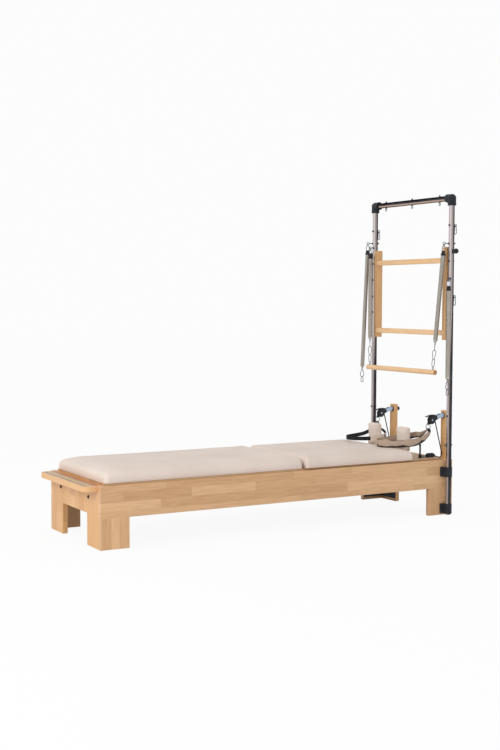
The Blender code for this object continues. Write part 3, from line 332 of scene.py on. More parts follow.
def patches_group() -> bpy.types.NodeTree:
    """A value that drifts between two levels in soft patches, from handling and cleaning.

    Returns:
        The node group.
    """
    g = Group(Tree.PATCHES, ("Value",), Vector="Vector", Scale=5.0, Low=0.0, High=1.0)
    vector, scale, low, high = g.given
    inputs = {0: g.noise(vector, scale, 4.0), 1: 0.3, 2: 0.7, 3: low, 4: high}
    return g.give(Value=g.out("ShaderNodeMapRange", inputs))


def pebble_group() -> bpy.types.NodeTree:
    """The height of a fine pebbled skin.

    Returns:
        The node group.
    """
    g = Group(Tree.PEBBLE, ("Height",), Vector="Vector", Scale=900.0)
    inputs = {"Vector": g.given[0], "Scale": g.given[1], "Smoothness": 0.4}
    return g.give(Height=g.math("SUBTRACT", 1.0, g.out("ShaderNodeTexVoronoi", inputs, feature="SMOOTH_F1")))


def weave_group() -> bpy.types.NodeTree:
    """The height of a plain weave over two thread counts, and a mask of its sunken crossings for painted shade.

    Returns:
        The node group.
    """
    g = Group(Tree.WEAVE, ("Height", "Gap"), U=0.0, V=0.0)
    waves = [g.math("ABSOLUTE", g.math("SINE", g.math("MULTIPLY", count, math.pi))) for count in g.given]
    steps = g.math("ADD", *[g.math("FLOOR", count) for count in g.given])
    over = g.math("FLOORED_MODULO", steps, 2.0)
    height = g.math("ADD", g.math("MULTIPLY", waves[0], over),
                    g.math("MULTIPLY", waves[1], g.math("SUBTRACT", 1.0, over)))
    return g.give(Height=height, Gap=g.math("SUBTRACT", 1.0, g.math("MULTIPLY", *waves)))


def copies_group() -> bpy.types.NodeTree:
    """Copies of one part at the points of a mesh, turned to face each point's own way.

    Returns:
        The node group.
    """
    g = Group(Tree.COPIES, Geometry="Geometry", Part="Object", Material="Material")
    points, part, material = g.given
    facing = g.out("GeometryNodeInputNamedAttribute", {0: "facing"}, data_type="FLOAT_VECTOR")
    spin = g.out("GeometryNodeInputNamedAttribute", {0: "spin"}, data_type="FLOAT")
    twist = g.out("FunctionNodeAxisAngleToRotation", {"Axis": (0.0, 0.0, 1.0), "Angle": spin})
    turned = g.out("FunctionNodeRotateRotation", {0: g.aimed(facing), 1: twist}, rotation_space="LOCAL")
    shape = g.node("GeometryNodeObjectInfo", {"Object": part}).outputs["Geometry"]
    inputs = {"Points": points, "Instance": shape, "Rotation": turned}
    return g.dress(g.out("GeometryNodeInstanceOnPoints", inputs), material)


def stitches_group() -> bpy.types.NodeTree:
    """Short threads at an even spacing along a line.

    Returns:
        The node group.
    """
    g = Group(Tree.STITCHES, Geometry="Geometry", Spacing=0.006, Length=0.004, Thickness=0.0009,
              Material="Material")
    lines, spacing, length, thickness, material = g.given
    curve = g.out("GeometryNodeMeshToCurve", {0: lines})
    even = g.out("GeometryNodeResampleCurve", {"Curve": curve, "Length": spacing}, mode="LENGTH")
    bead = g.out("GeometryNodeMeshUVSphere", {"Segments": 6, "Rings": 5, "Radius": 0.5})
    inputs = {"Points": even, "Instance": bead, "Rotation": g.aimed(g.out("GeometryNodeInputTangent")),
              "Scale": g.join(thickness, thickness, length)}
    threads = g.out("GeometryNodeInstanceOnPoints", inputs)
    return g.dress(g.out("GeometryNodeSetShadeSmooth", {"Geometry": threads}), material)


def coil_group() -> bpy.types.NodeTree:
    """A close-wound spring that stands on the origin and runs up Z.

    Returns:
        The node group.
    """
    g = Group(Tree.COIL, Turns=100.0, Radius=0.008, Height=0.5, Wire=0.0015, Steps=14, Material="Material")
    rounds, radius, height, wire, steps, material = g.given
    inputs = {"Resolution": steps, "Rotations": rounds, "Start Radius": radius, "End Radius": radius,
              "Height": height}
    spiral = g.out("GeometryNodeCurveSpiral", inputs)
    section = g.out("GeometryNodeCurvePrimitiveCircle", {"Resolution": 6, "Radius": wire})
    tube = g.out("GeometryNodeCurveToMesh", {"Curve": spiral, "Profile Curve": section, "Fill Caps": True})
    return g.dress(g.out("GeometryNodeSetShadeSmooth", {"Geometry": tube}), material)


BUILDERS: dict[Tree, Callable[[], bpy.types.NodeTree]] = {
    Tree.GRAIN: grain_group, Tree.PATCHES: patches_group, Tree.PEBBLE: pebble_group, Tree.WEAVE: weave_group,
    Tree.COPIES: copies_group, Tree.STITCHES: stitches_group, Tree.COIL: coil_group}


# Finishes


class Surface(Graph):
    """A material under construction, behind its Principled shader."""

    def __init__(self, material: bpy.types.Material) -> None:
        """Finds the shader, and the place of a point on its piece in object coordinates.

        Args:
            material: The material, with its first nodes.
        """
        super().__init__(material.node_tree)
        self.shader = self.tree.nodes["Principled BSDF"]
        self.place = self.node("ShaderNodeTexCoord").outputs["Object"]
        self.parts = self.split(self.place)

    def set(self, **values: object) -> None:
        """Feeds the shader's inputs, named with _ for a space."""
        for label, value in values.items():
            self.feed(self.shader.inputs[label.replace("_", " ")], value)

    def patches(self, scale: float, low: float = 0.0, high: float = 1.0) -> Socket:
        """A value that drifts between two levels in soft patches."""
        return self.effect(Tree.PATCHES, Vector=self.place, Scale=scale, Low=low, High=high)["Value"]

    def pebble(self, scale: float) -> Socket:
        """The height of a fine pebbled skin."""
        return self.effect(Tree.PEBBLE, Vector=self.place, Scale=scale)["Height"]

    def bump(self, height: Socket, strength: float, distance: float) -> Socket:
        """A normal raised by a height."""
        return self.out("ShaderNodeBump", {"Strength": strength, "Distance": distance, "Height": height})


def rgb(red: float, green: float, blue: float) -> Colour:
    """A colour as seen, from 0 to 255, in the linear numbers that a shader takes."""
    shares = [value / 255 for value in (red, green, blue)]
    return tuple(s / 12.92 if s <= 0.04045 else ((s + 0.055) / 1.055) ** 2.4 for s in shares)


def shades(*stops: tuple[float, float, float, float]) -> Stops:
    """Places with their colours as seen."""
    return tuple((place, rgb(*colour)) for place, *colour in stops)


@dataclass(frozen=True)
class Finish:
    """A surface that makes its material once and then hands it out."""

    name: str
    slot: str

    def material(self) -> bpy.types.Material:
        """The finish's material.

        Returns:
            The one material of this finish.
        """
        found = bpy.data.materials.get(self.name)
        if found is None:
            found = bpy.data.materials.new(self.name)
            found.use_nodes = True
            self.dress(Surface(found))
        return found

    def dress(self, s: Surface) -> None:
        """Builds the nodes behind the shader."""
        raise NotImplementedError

    def put_on(self, *nodes: str) -> None:
        """Gives CAD nodes this finish."""
        for place in (place for node in nodes for place in bpy.data.objects[node].material_slots):
            place.link, place.material = "OBJECT", self.material()


@dataclass(frozen=True)
class Wood(Finish):
    """Clear varnished wood, in strips of finger-jointed blocks."""

    light: Colour
    dark: Colour
    along: Axis = Axis.X
    across: Axis = Axis.Z
    strip: float = 0.052
    block: float = 0.42
    upright_below: float | None = None
    roughness: float = 0.42

    def dress(self, s: Surface) -> None:
        """Tones block by block with fibres, and a satin varnish that is duller in patches.

        Args:
            s: The surface that the nodes are built for.
        """
        along, across = s.parts[self.along], s.parts[self.across]
        depth = s.parts[sum(Axis) - self.along - self.across]
        if self.upright_below is not None:
            turned = s.math("LESS_THAN", s.parts[Axis.Z], self.upright_below)
            along, across = (s.out("ShaderNodeMix", {0: turned, 2: level, 3: upright}, data_type="FLOAT")
                             for level, upright in ((along, across), (across, along)))
        grain = s.effect(Tree.GRAIN, Along=along, Across=across, Depth=depth, Strip=self.strip, Block=self.block)
        share = s.math("ADD", s.math("MULTIPLY", grain["Tone"], 0.55), s.math("MULTIPLY", grain["Fibre"], 0.6))
        colour = s.mix(s.math("SUBTRACT", share, 0.08), self.dark, self.light)
        glue = tuple(value * 0.45 for value in self.dark)
        height = s.math("SUBTRACT", grain["Fibre"], s.math("MULTIPLY", grain["Line"], 0.6))
        s.set(Base_Color=s.mix(s.math("MULTIPLY", grain["Line"], 0.45), colour, glue),
              Roughness=s.patches(4.0, self.roughness - 0.06, self.roughness + 0.08),
              Normal=s.bump(height, 0.12, 0.0006), Coat_Weight=0.12, Coat_Roughness=0.3)


@dataclass(frozen=True)
class StripedWood(Finish):
    """Strips of several hardwoods glued side by side across the platform, each with its far edge."""

    start: float
    strips: Stops
    top: float = 0.3512
    half: float = 0.326
    roughness: float = 0.4

    def dress(self, s: Surface) -> None:
        """Steps of colour along X over fibres that run across the bed.

        Args:
            s: The surface that the nodes are built for.
        """
        x, y, z = s.parts
        edges, colours = zip(*self.strips)
        stops = tuple(zip([0.0] + [edge / edges[-1] for edge in edges], colours))
        share = s.math("DIVIDE", s.math("SUBTRACT", x, self.start), edges[-1])
        fibre = s.effect(Tree.GRAIN, Along=y, Across=x, Depth=z, Strip=0.2, Block=0.9)["Fibre"]
        shade = s.out("ShaderNodeMapRange", {0: fibre, 3: 0.92, 4: 1.06})
        tint = s.out("ShaderNodeCombineColor", dict.fromkeys(range(3), shade))
        covered = s.math("MULTIPLY", s.math("GREATER_THAN", z, self.top),
                         s.math("LESS_THAN", s.math("ABSOLUTE", y), self.half))
        striped = s.mix(covered, colours[0], s.ramp(share, stops, "CONSTANT"))
        s.set(Base_Color=s.mix(1.0, striped, tint, "MULTIPLY"),
              Roughness=s.patches(9.0, self.roughness - 0.08, self.roughness + 0.1),
              Normal=s.bump(fibre, 0.12, 0.0006))


@dataclass(frozen=True)
class Leather(Finish):
    """Smooth imitation leather with a fine pebble."""

    colour: Colour
    worn: Colour

    def dress(self, s: Surface) -> None:
        """A soft tone that drifts, a fine skin and broad shallow unevenness.

        Args:
            s: The surface that the nodes are built for.
        """
        height = s.math("ADD", s.pebble(850.0), s.math("MULTIPLY", s.noise(s.place, 22.0), 3.0))
        s.set(Base_Color=s.mix(s.patches(3.0), self.colour, self.worn), Roughness=s.patches(7.0, 0.5, 0.62),
              Normal=s.bump(height, 0.10, 0.0004), Specular_IOR_Level=0.35)


@dataclass(frozen=True)
class Woven(Finish):
    """Webbing, cord or thread, woven along a piece's own length."""

    colour: Colour
    # gap is the colour of the painted shade in the sunken crossings between threads.
    gap: Colour
    thread: float = 0.0011
    slant: bool = False
    roughness: float = 0.8

    def dress(self, s: Surface) -> None:
        """Threads over and under, straight for webbing and slanted for a braided cord, with painted shade in the
        sunken crossings.

        Args:
            s: The surface that the nodes are built for.
        """
        u, v, _ = s.split(s.out("ShaderNodeUVMap", uv_map="UVMap"))
        if self.slant:
            u, v = s.math("ADD", u, v), s.math("SUBTRACT", u, v)
        weave = s.effect(Tree.WEAVE, U=s.math("DIVIDE", u, self.thread), V=s.math("DIVIDE", v, self.thread))
        # Painted shade: the sunken crossings take the darker gap colour.
        s.set(Base_Color=s.mix(weave["Gap"], self.colour, self.gap),
              Roughness=s.patches(14.0, self.roughness - 0.08, self.roughness + 0.08),
              Normal=s.bump(weave["Height"], 0.5, self.thread / 3))


@dataclass(frozen=True)
class Sheen:
    """Light and dark reflection bands painted into a polished tube's colour all round it, by place and not by view.
    """

    across: tuple[Axis, Axis]
    centre: tuple[float, float]
    front: float
    stops: Stops
    lower: float = 0.0

    def colour(self, s: Surface) -> Socket:
        """The painted reflection's colour at a place, drifting a little along the tube.

        Args:
            s: The surface that the nodes are built for.

        Returns:
            The colour's socket.
        """
        offs = [s.math("SUBTRACT", s.parts[axis], s.math("MULTIPLY", s.math("SIGN", s.parts[axis]), centre))
                for axis, centre in zip(self.across, self.centre)]
        turn = s.math("DIVIDE", s.math("ARCTAN2", offs[1], offs[0]), 2 * math.pi)
        # The painted reflection bands turn round the tube by up to lower from 1.3 m down to 0.9 m.
        front = s.out("ShaderNodeMapRange", {0: s.parts[Axis.Z], 1: 1.3, 2: 0.9, 3: self.front,
                                             4: self.front + self.lower})
        drift = s.math("MULTIPLY", s.noise(s.join(0.0, s.parts[Axis.Y], s.parts[Axis.Z]), 1.6), 0.06)
        return s.ramp(s.math("FRACT", s.math("ADD", turn, s.math("ADD", front, drift))), self.stops)


@dataclass(frozen=True)
class Metal(Finish):
    """Bare or plated metal, brushed or polished."""

    colour: Colour
    roughness: float = 0.2
    brush: float = 0.0
    grain: Axis = Axis.Z
    glance: Colour = (1.0, 1.0, 1.0)
    sheen: Sheen | None = None

    def dress(self, s: Surface) -> None:
        """A shine that handling has dulled in patches, painted reflection bands in polished tubes' colour, and fine
        brushed lines.

        Args:
            s: The surface that the nodes are built for.
        """
        darker = tuple(value * 0.88 for value in self.colour)
        # On polished tubes the base colour is a painted reflection: bands of light and dark in place of what the tube
        # mirrors.
        plain = self.sheen.colour(s) if self.sheen else self.colour
        fine = s.join(*[s.math("MULTIPLY", s.parts[axis], 12.0 if axis is self.grain else 1400.0)
                        for axis in Axis])
        s.set(Base_Color=s.mix(s.patches(11.0, high=0.1 if self.sheen else 0.8), plain, darker),
              Roughness=s.patches(17.0, self.roughness * 0.8, self.roughness * 1.3),
              Normal=s.bump(s.noise(fine, 1.0), 0.004 + self.brush, 0.0002),
              Metallic=1.0, Specular_Tint=self.glance)


@dataclass(frozen=True)
class Coated(Finish):
    """Moulded plastic, rubber or powder coat with a fine texture."""

    colour: Colour
    roughness: float = 0.45
    texture: float = 0.12
    cell: float = 1300.0
    shine: float = 0.35

    def dress(self, s: Surface) -> None:
        """One colour with scuffed patches over an orange-peel skin.

        Args:
            s: The surface that the nodes are built for.
        """
        scuffed = tuple(value * 1.25 + 0.004 for value in self.colour)
        s.set(Base_Color=s.mix(s.patches(13.0), self.colour, scuffed), Specular_IOR_Level=self.shine,
              Roughness=s.patches(21.0, self.roughness - 0.05, self.roughness + 0.12),
              Normal=s.bump(s.pebble(self.cell), self.texture, 0.0003))


PLAIN = {"strip": 0.3, "block": 2.0}
RAIL_WOOD = Wood("varnished_rail_wood", "rail_wood", rgb(238, 196, 150), rgb(190, 144, 98), upright_below=0.173)
END_WOOD = Wood("varnished_end_wood", "end_board_wood", rgb(240, 192, 132), rgb(198, 146, 88), Axis.Z, Axis.Y,
                0.07, 0.6)
STILE_WOOD = Wood("varnished_stile_wood", "stile_wood", rgb(233, 188, 134), rgb(197, 148, 96), Axis.Z, Axis.X,
                  **PLAIN)
TURNED_WOOD = Wood("pale_turned_wood", "turned_wood", rgb(252, 216, 168), rgb(216, 168, 114), Axis.Y, **PLAIN)
CUT_WOOD = Wood("cut_end_of_bar", "turned_wood", rgb(206, 152, 104), rgb(176, 122, 78), Axis.Z, Axis.X, **PLAIN)
INNER_WOOD = Wood("plain_inner_wood", "inner_wood", rgb(214, 180, 140), rgb(172, 132, 94), Axis.X, Axis.Y,
                  0.12, 0.9, roughness=0.6)
PLATFORM_WOOD = StripedWood("striped_platform_wood", "striped_wood", -1.2926, shades(
    (0.016, 228, 180, 126), (0.030, 148, 114, 116), (0.038, 178, 146, 108), (0.062, 200, 170, 108),
    (0.070, 150, 118, 108), (0.078, 198, 148, 98), (0.096, 172, 92, 56), (0.175, 206, 142, 72)))
VINYL = Leather("beige_upholstery", "upholstery", rgb(232, 217, 206), rgb(222, 206, 193))
SEAM = Woven("upholstery_thread", "upholstery", rgb(206, 190, 176), rgb(160, 144, 130), 0.0004, True)
# Near sleeve's cloth: the sling's own beige, darkened by painted shade; the far sleeve's pale cloth is the same cloth
# without it.
SLING_PAINTED_SHADE = Woven("beige_sling_cloth", "strap", rgb(212, 190, 171), rgb(166, 143, 122), 0.0016)
PALE_SLING = Woven("pale_sling_cloth", "strap", rgb(240, 225, 212), rgb(222, 205, 190), 0.0016)
WEBBING = Woven("black_webbing", "strap", rgb(34, 34, 38), rgb(14, 14, 16), 0.0012)
CORD = Woven("black_braided_cord", "rope", rgb(30, 30, 34), rgb(10, 10, 12), 0.0013, True)
PLASTIC = Coated("black_moulded_plastic", "black_plastic", rgb(24, 25, 29), 0.38)
RUBBER = Coated("black_rubber", "black_plastic", rgb(28, 28, 30), 0.7, 0.2, 900.0)
PALE_PLASTIC = Coated("pale_moulded_plastic", "black_plastic", rgb(206, 212, 220), 0.4)
BLACK_STEEL = Coated("black_powder_coat", "black_steel", rgb(34, 37, 43), 0.46, 0.1, shine=0.22)
SHADE = rgb(96, 92, 94)
# Painted reflection bands for the posts and the crossbar: light and dark stripes painted into the chrome's colour.
POST_PAINTED_REFLECTION = Sheen((Axis.X, Axis.Y), (1.17335, 0.4115), 0.840, shades(
    (0.00, 150, 146, 148), (0.05, 64, 66, 74), (0.10, 50, 52, 60), (0.14, 176, 168, 166), (0.21, 216, 206, 203),
    (0.27, 122, 118, 122), (0.33, 190, 178, 176), (0.42, 226, 214, 210), (0.50, 196, 188, 188),
    (0.53, 122, 124, 134), (0.555, 188, 174, 168), (0.60, 132, 112, 104), (0.63, 42, 44, 52),
    (0.78, 34, 36, 44), (0.82, 150, 146, 150), (0.88, 224, 214, 211), (0.95, 192, 184, 183),
    (1.00, 150, 146, 148)), 0.1)
BAR_PAINTED_REFLECTION = Sheen((Axis.X, Axis.Z), (1.17335, 2.016), 0.9495, shades(
    (0.00, 120, 112, 110), (0.08, 206, 198, 194), (0.17, 178, 170, 168), (0.23, 96, 96, 102),
    (0.29, 42, 46, 54), (0.50, 46, 50, 58), (0.52, 150, 126, 110), (0.55, 196, 176, 162), (0.62, 180, 158, 144),
    (0.69, 128, 108, 98), (0.76, 70, 62, 60), (0.84, 52, 54, 62), (0.90, 170, 160, 154), (1.00, 120, 112, 110)))
CHROME = Metal("polished_tube_steel", "polished_steel", rgb(190, 186, 186), 0.16, glance=SHADE,
               sheen=POST_PAINTED_REFLECTION)
CHROME_ACROSS = Metal("polished_crossbar_steel", "polished_steel", rgb(190, 178, 170), 0.16, grain=Axis.Y,
                      glance=SHADE, sheen=BAR_PAINTED_REFLECTION)
FASTENER = Metal("bright_fastener_steel", "polished_steel", rgb(112, 116, 122), 0.24, glance=SHADE)
DARK_FASTENER = Metal("dark_fastener_steel", "black_steel", rgb(84, 88, 96), 0.3)
BRACKET_STEEL = Metal("bright_arm_steel", "polished_steel", rgb(172, 186, 204), 0.2, glance=SHADE)
SPRING_STEEL = Metal("spring_wire", "spring_steel", rgb(206, 200, 191), 0.32, glance=rgb(104, 94, 88))
ANODISED = Metal("anodised_track", "aluminium_track", rgb(198, 201, 204), 0.35, 0.1, Axis.X)
BAR_STEEL = Metal("plain_bar_steel", "spring_steel", rgb(120, 124, 130), 0.34, 0.05, Axis.Y)


# Shapes


def turns(start: float, end: float, steps: int) -> list[float]:
    """Even angles from one angle to another, with both of them."""
    return [start + (end - start) * i / steps for i in range(steps + 1)]


def circle(radius: float, steps: int = 10) -> list[tuple[float, float]]:
    """A round section, as offsets across and up."""
    return [(radius * math.cos(turn), radius * math.sin(turn)) for turn in turns(0, 2 * math.pi, steps)[:-1]]


def mirrored(half: Profile) -> list[tuple[float, float]]:
    """A whole profile from the half of it that lies past 0."""
    return [(-place, radius) for place, radius in reversed(half) if place] + list(half)


def heading(turn: float) -> Vector:
    """Level unit vector in a direction."""
    return Vector((math.cos(turn), math.sin(turn), 0.0))


def ring_frame(axis: Vector) -> tuple[Vector, Vector]:
    """Two unit vectors square to an axis and to each other."""
    side = axis.cross(ACROSS if abs(axis.dot(ACROSS)) < 0.9 else UP).normalized()
    return side, axis.cross(side).normalized()


def arc(centre: Vector, first: Vector, second: Vector, steps: int) -> list[Vector]:
    """Points of half a circle or oval, from one radius over the second one."""
    return [centre + first * math.cos(turn) + second * math.sin(turn) for turn in turns(0, math.pi, steps)]


def smooth_path(points: Sequence[Vector], steps: int = 4, closed: bool = False) -> list[Vector]:
    """A smooth curve through points.

    Args:
        points: The points to pass through.
        steps: Points made for each span.
        closed: Whether the last point joins the first.

    Returns:
        The points of the curve.
    """
    count = len(points)
    curve = []
    for i in range(count if closed else count - 1):
        near = [(i + k) % count if closed else min(max(i + k, 0), count - 1) for k in (-1, 0, 1, 2)]
        before, here, there, after = (points[k] for k in near)
        for t in (step / steps for step in range(steps)):
            curve.append(0.5 * (2 * here + (there - before) * t + (2 * before - 5 * here + 4 * there - after) * t ** 2
                                + (3 * here - before - 3 * there + after) * t ** 3))
    return curve if closed else [*curve, points[-1]]


class Shape:
    """A mesh under construction, with a UV map in metres."""

    def __init__(self) -> None:
        """Starts an empty mesh."""
        self.mesh = bmesh.new()
        self.uv = self.mesh.loops.layers.uv.new("UVMap")

    def loft(self, rows: Sequence[Sequence[Vector]], closed: bool = False) -> list[bmesh.types.BMFace]:
        """Skins rings of points.

        Args:
            rows: Rings with the same number of points each.
            closed: Whether the last ring joins the first. If not, both are filled.

        Returns:
            The new faces.
        """
        count = len(rows[0])
        verts = [[self.mesh.verts.new(point) for point in ring] for ring in rows]
        widths = [(ring[0] - ring[count // 2]).length for ring in rows]
        widest = rows[widths.index(max(widths))]
        around = [0.0]
        for j in range(count):
            around.append(around[-1] + (widest[(j + 1) % count] - widest[j]).length)
        middles = [sum(ring, Vector()) / count for ring in rows]
        faces = []
        reached = 0.0
        for i in range(len(rows) if closed else len(rows) - 1):
            n = (i + 1) % len(rows)
            after = reached + max((middles[n] - middles[i]).length, (rows[n][0] - rows[i][0]).length)
            for j in range(count):
                k = (j + 1) % count
                faces.append(self.mesh.faces.new((verts[i][j], verts[i][k], verts[n][k], verts[n][j])))
                places = ((around[j], reached), (around[j + 1], reached), (around[j + 1], after), (around[j], after))
                for corner, place in zip(faces[-1].loops, places):
                    corner[self.uv].uv = place
            reached = after
        return faces + [self.mesh.faces.new(verts[i]) for i in (0, -1) if not closed and widths[i] > 1e-5]

    def turn(self, centre: Sequence[float], axis: Vector, profile: Profile, steps: int = 32,
             closed: bool = False) -> None:
        """Turns a profile about an axis.

        Args:
            centre: Origin of the profile.
            axis: Unit vector of the axis.
            profile: Places along the axis with their radius.
            steps: Faces round the axis.
            closed: Whether the profile is a loop.
        """
        side, up = ring_frame(axis)
        self.loft([[Vector(centre) + axis * along + side * a + up * b for a, b in circle(radius, steps)]
                   for along, radius in profile], closed)

    def sweep(self, path: Sequence[Vector], section: Profile, closed: bool = False) -> None:
        """Draws a section along a path without twisting it.

        Args:
            path: Points of the path.
            section: Offsets across and up.
            closed: Whether the path is a loop.
        """
        ends = (path[-1], path[0]) if closed else (path[0], path[-1])
        heads = [(after - before).normalized() for before, after in zip([ends[0], *path], [*path[1:], ends[1]])]
        side, _ = ring_frame(heads[0])
        rows = []
        for point, head in zip(path, heads):
            side = (side - head * side.dot(head)).normalized()
            rows.append([point + side * a + head.cross(side) * b for a, b in section])
        self.loft(rows, closed)

    def rod(self, start: Vector, end: Vector, radius: float, steps: int = 24) -> None:
        """A round bar with eased ends, between the middles of both.

        Args:
            start: Middle of its first end.
            end: Middle of its last end.
            radius: Its radius.
            steps: Faces round it.
        """
        size, edge = (end - start).length, 0.0006
        self.turn(start, (end - start).normalized(), [(0, radius - edge), (edge, radius), (size - edge, radius),
                                                      (size, radius - edge)], steps)

    def oval(self, centre: Vector, along: Vector, across: Vector, half: float, width: float, wire: float,
             steps: int = 12) -> None:
        """A ring or an oval link.

        Args:
            centre: Middle of the ring.
            along: Unit vector of its long way.
            across: Unit vector of its short way.
            half: Half its length.
            width: Half its width.
            wire: Radius of the wire.
            steps: Spans of each half circle.
        """
        path = [point for way in (1, -1) for point in
                arc(centre + along * (half - width) * way, across * width * way, along * width * way, steps)]
        self.sweep([point for i, point in enumerate(path) if (point - path[i - 1]).length > 1e-5], circle(wire), True)

    def ring(self, centre: Vector, along: Vector, across: Vector, radius: float, wire: float,
             steps: int = 12) -> None:
        """A round ring in the plane of two unit vectors."""
        self.oval(centre, along, across, radius, radius, wire, steps)

    def prism(self, outline: Profile, low: float, high: float, axis: Axis, edge: float) -> None:
        """An outline drawn straight along an axis, with its sharp edges bevelled.

        Args:
            outline: Points in the plane of the other two axes, in their order.
            low: Where it starts on the axis.
            high: Where it ends.
            axis: The axis.
            edge: Width of the bevel.
        """
        faces = self.loft([[Vector((*point[:axis], level, *point[axis:])) for point in outline]
                           for level in (low, high)])
        bmesh.ops.recalc_face_normals(self.mesh, faces=faces)
        lines = {line for face in faces for line in face.edges}
        sharp = [line for line in lines if len(line.link_faces) == 2 and line.calc_face_angle(0.0) > 0.6]
        bmesh.ops.bevel(self.mesh, geom=sharp, offset=edge, segments=2, profile=0.6, affect="EDGES",
                        clamp_overlap=True)

    def data(self, name: str, finishes: Sequence[Finish] = (), crease: float = 40.0) -> Mesh:
        """Ends the construction as a mesh.

        Args:
            name: Name of the mesh.
            finishes: Its finishes, in the order of the faces' numbers.
            crease: Angle in degrees above which an edge stays sharp.

        Returns:
            The mesh.
        """
        bmesh.ops.remove_doubles(self.mesh, verts=self.mesh.verts, dist=2e-6)
        bmesh.ops.recalc_face_normals(self.mesh, faces=self.mesh.faces)
        for face in self.mesh.faces:
            face.smooth = True
        data = bpy.data.meshes.new(name)
        self.mesh.to_mesh(data)
        self.mesh.free()
        for finish in finishes:
            data.materials.append(finish.material())
        data.set_sharp_from_angle(angle=math.radians(crease))
        return data

    def piece(self, name: str, finish: Finish, body: str, *nodes: str, also: Sequence[Finish] = ()) -> None:
        """Ends the construction as a piece of a body that stands for CAD nodes."""
        place_piece(name, self.data(name, (finish, *also)), finish, body, *nodes)


def place_piece(name: str, data: Mesh, finish: Finish, body: str, *nodes: str) -> None:
    """Puts a mesh into the scene as a piece of the object.

    Args:
        name: Name of the piece.
        data: Its mesh, in the row frame.
        finish: Not used.
        body: Body that it moves with.
        nodes: CAD nodes that it stands for.
    """
    made = add_object(name, data)
    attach(made, body)
    if nodes:
        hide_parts(*nodes)


def grow(kind: Tree, base: Mesh | None = None, **values: object) -> Mesh:
    """Runs a geometry tree and takes its result.

    Args:
        kind: Which tree.
        base: Mesh that it starts from, which is used up.
        values: Its inputs by name.

    Returns:
        A plain mesh.
    """
    holder = add_object("holder", base or bpy.data.meshes.new("start"))
    modifier = holder.modifiers.new("growth", "NODES")
    modifier.node_group = kind.group()
    for item in modifier.node_group.interface.items_tree:
        if item.in_out == "INPUT" and item.name in values:
            modifier[item.identifier] = values[item.name]
    made = baked(holder)
    bpy.data.meshes.remove(holder.data)
    return made


@dataclass
class Copies:
    """Many copies of one small part, each at its own place."""

    part: Mesh
    finish: Finish
    places: list[tuple[Vector, Vector, float]] = field(default_factory=list)

    def at(self, place: Sequence[float], facing: Vector, spin: float) -> None:
        """Adds a copy at a place, with its Z facing a way and turned about it."""
        self.places.append((Vector(place), facing, spin))

    def piece(self, name: str, body: str) -> None:
        """Puts the copies into the scene as a piece of a body.

        Args:
            name: Name of the piece.
            body: Body that it moves with.
        """
        places, facing, spin = zip(*self.places)
        base = bpy.data.meshes.new("places")
        base.from_pydata(places, [], [])
        ways = base.attributes.new("facing", "FLOAT_VECTOR", "POINT")
        ways.data.foreach_set("vector", [value for way in facing for value in way])
        base.attributes.new("spin", "FLOAT", "POINT").data.foreach_set("value", spin)
        part = add_object("part", self.part)
        place_piece(name, grow(Tree.COPIES, base, Part=part, Material=self.finish.material()), self.finish, body)
        bpy.data.meshes.remove(self.part)


def stitches(name: str, paths: Iterable[Sequence[Vector]], body: str, spacing: float, length: float,
             thickness: float) -> None:
    """Rows of stitches along paths.

    Args:
        name: Name of the piece.
        paths: Points of each row.
        body: Body that the stitches move with.
        spacing: From one stitch to the next.
        length: Length of a stitch.
        thickness: Thickness of the thread.
    """
    verts: list[Vector] = []
    edges: list[tuple[int, int]] = []
    for path in paths:
        edges += [(i, i + 1) for i in range(len(verts), len(verts) + len(path) - 1)]
        verts += path
    base = bpy.data.meshes.new("rows")
    base.from_pydata(verts, edges, [])
    made = grow(Tree.STITCHES, base, Spacing=spacing, Length=length, Thickness=thickness, Material=SEAM.material())
    place_piece(name, made, SEAM, body)


def wind(name: str, start: Vector, end: Vector, sizes: tuple[float, float, float], body: str) -> None:
    """A close-wound spring between two places, which stands for its CAD node.

    Args:
        name: Name of the node.
        start: Middle of its first end.
        end: Middle of its last end.
        sizes: Outer radius, radius of the wire, and rise of each turn.
        body: Body that it moves with.
    """
    outer, wire, pitch = sizes
    line = end - start
    made = grow(Tree.COIL, Turns=line.length / pitch, Radius=outer - wire, Height=line.length, Wire=wire,
                Material=SPRING_STEEL.material(), Steps=14)
    made.transform(Matrix.Translation(start) @ UP.rotation_difference(line.normalized()).to_matrix().to_4x4())
    place_piece(name + "_coil", made, SPRING_STEEL, body, name)


# Places that several pieces share


FOOT_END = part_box("side_plank_near")[0].x
DECK_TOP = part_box("rope_lock_near")[0].z
POST_X, POST_Y, TUBE = 2.381, 0.4115, 0.0175
LANE_X, ROPE_Y, ROPE_Z, RING_Z, RING = 2.3187, 0.2775, 0.3717, 0.562, 0.017
LOCK = (2.310, 2.366)
LOCK_POST_X = 2.256
PULLEY = (2.345, 0.602)


def x_at(distance: float) -> float:
    """X of a place given from the foot end of the bed."""
    return FOOT_END + distance


def post_at(side: Side, z: float = 0.0) -> Vector:
    """A point on the middle line of a post."""
    return Vector((x_at(POST_X), side.value * POST_Y, z))


def home(node: str) -> str:
    """The body that a CAD node belongs to."""
    return bpy.data.objects[node].parent.name.split(":")[1]


# Fasteners


def hex_bolt(radius: float, height: float) -> Mesh:
    """A hexagon head on a washer, standing on the origin and facing Z.

    Args:
        radius: Radius over the head's corners.
        height: Height of the head.

    Returns:
        The bolt's mesh.
    """
    shape = Shape()
    shape.turn((0, 0, 0), UP, [(0.0, radius * 1.5), (0.0010, radius * 1.5), (0.0013, radius * 1.4)], 24)
    shape.turn((0, 0, 0.0013), UP, [(0.0, radius), (height * 0.8, radius), (height, radius * 0.86)], 6)
    return shape.data("hex_bolt", crease=30)


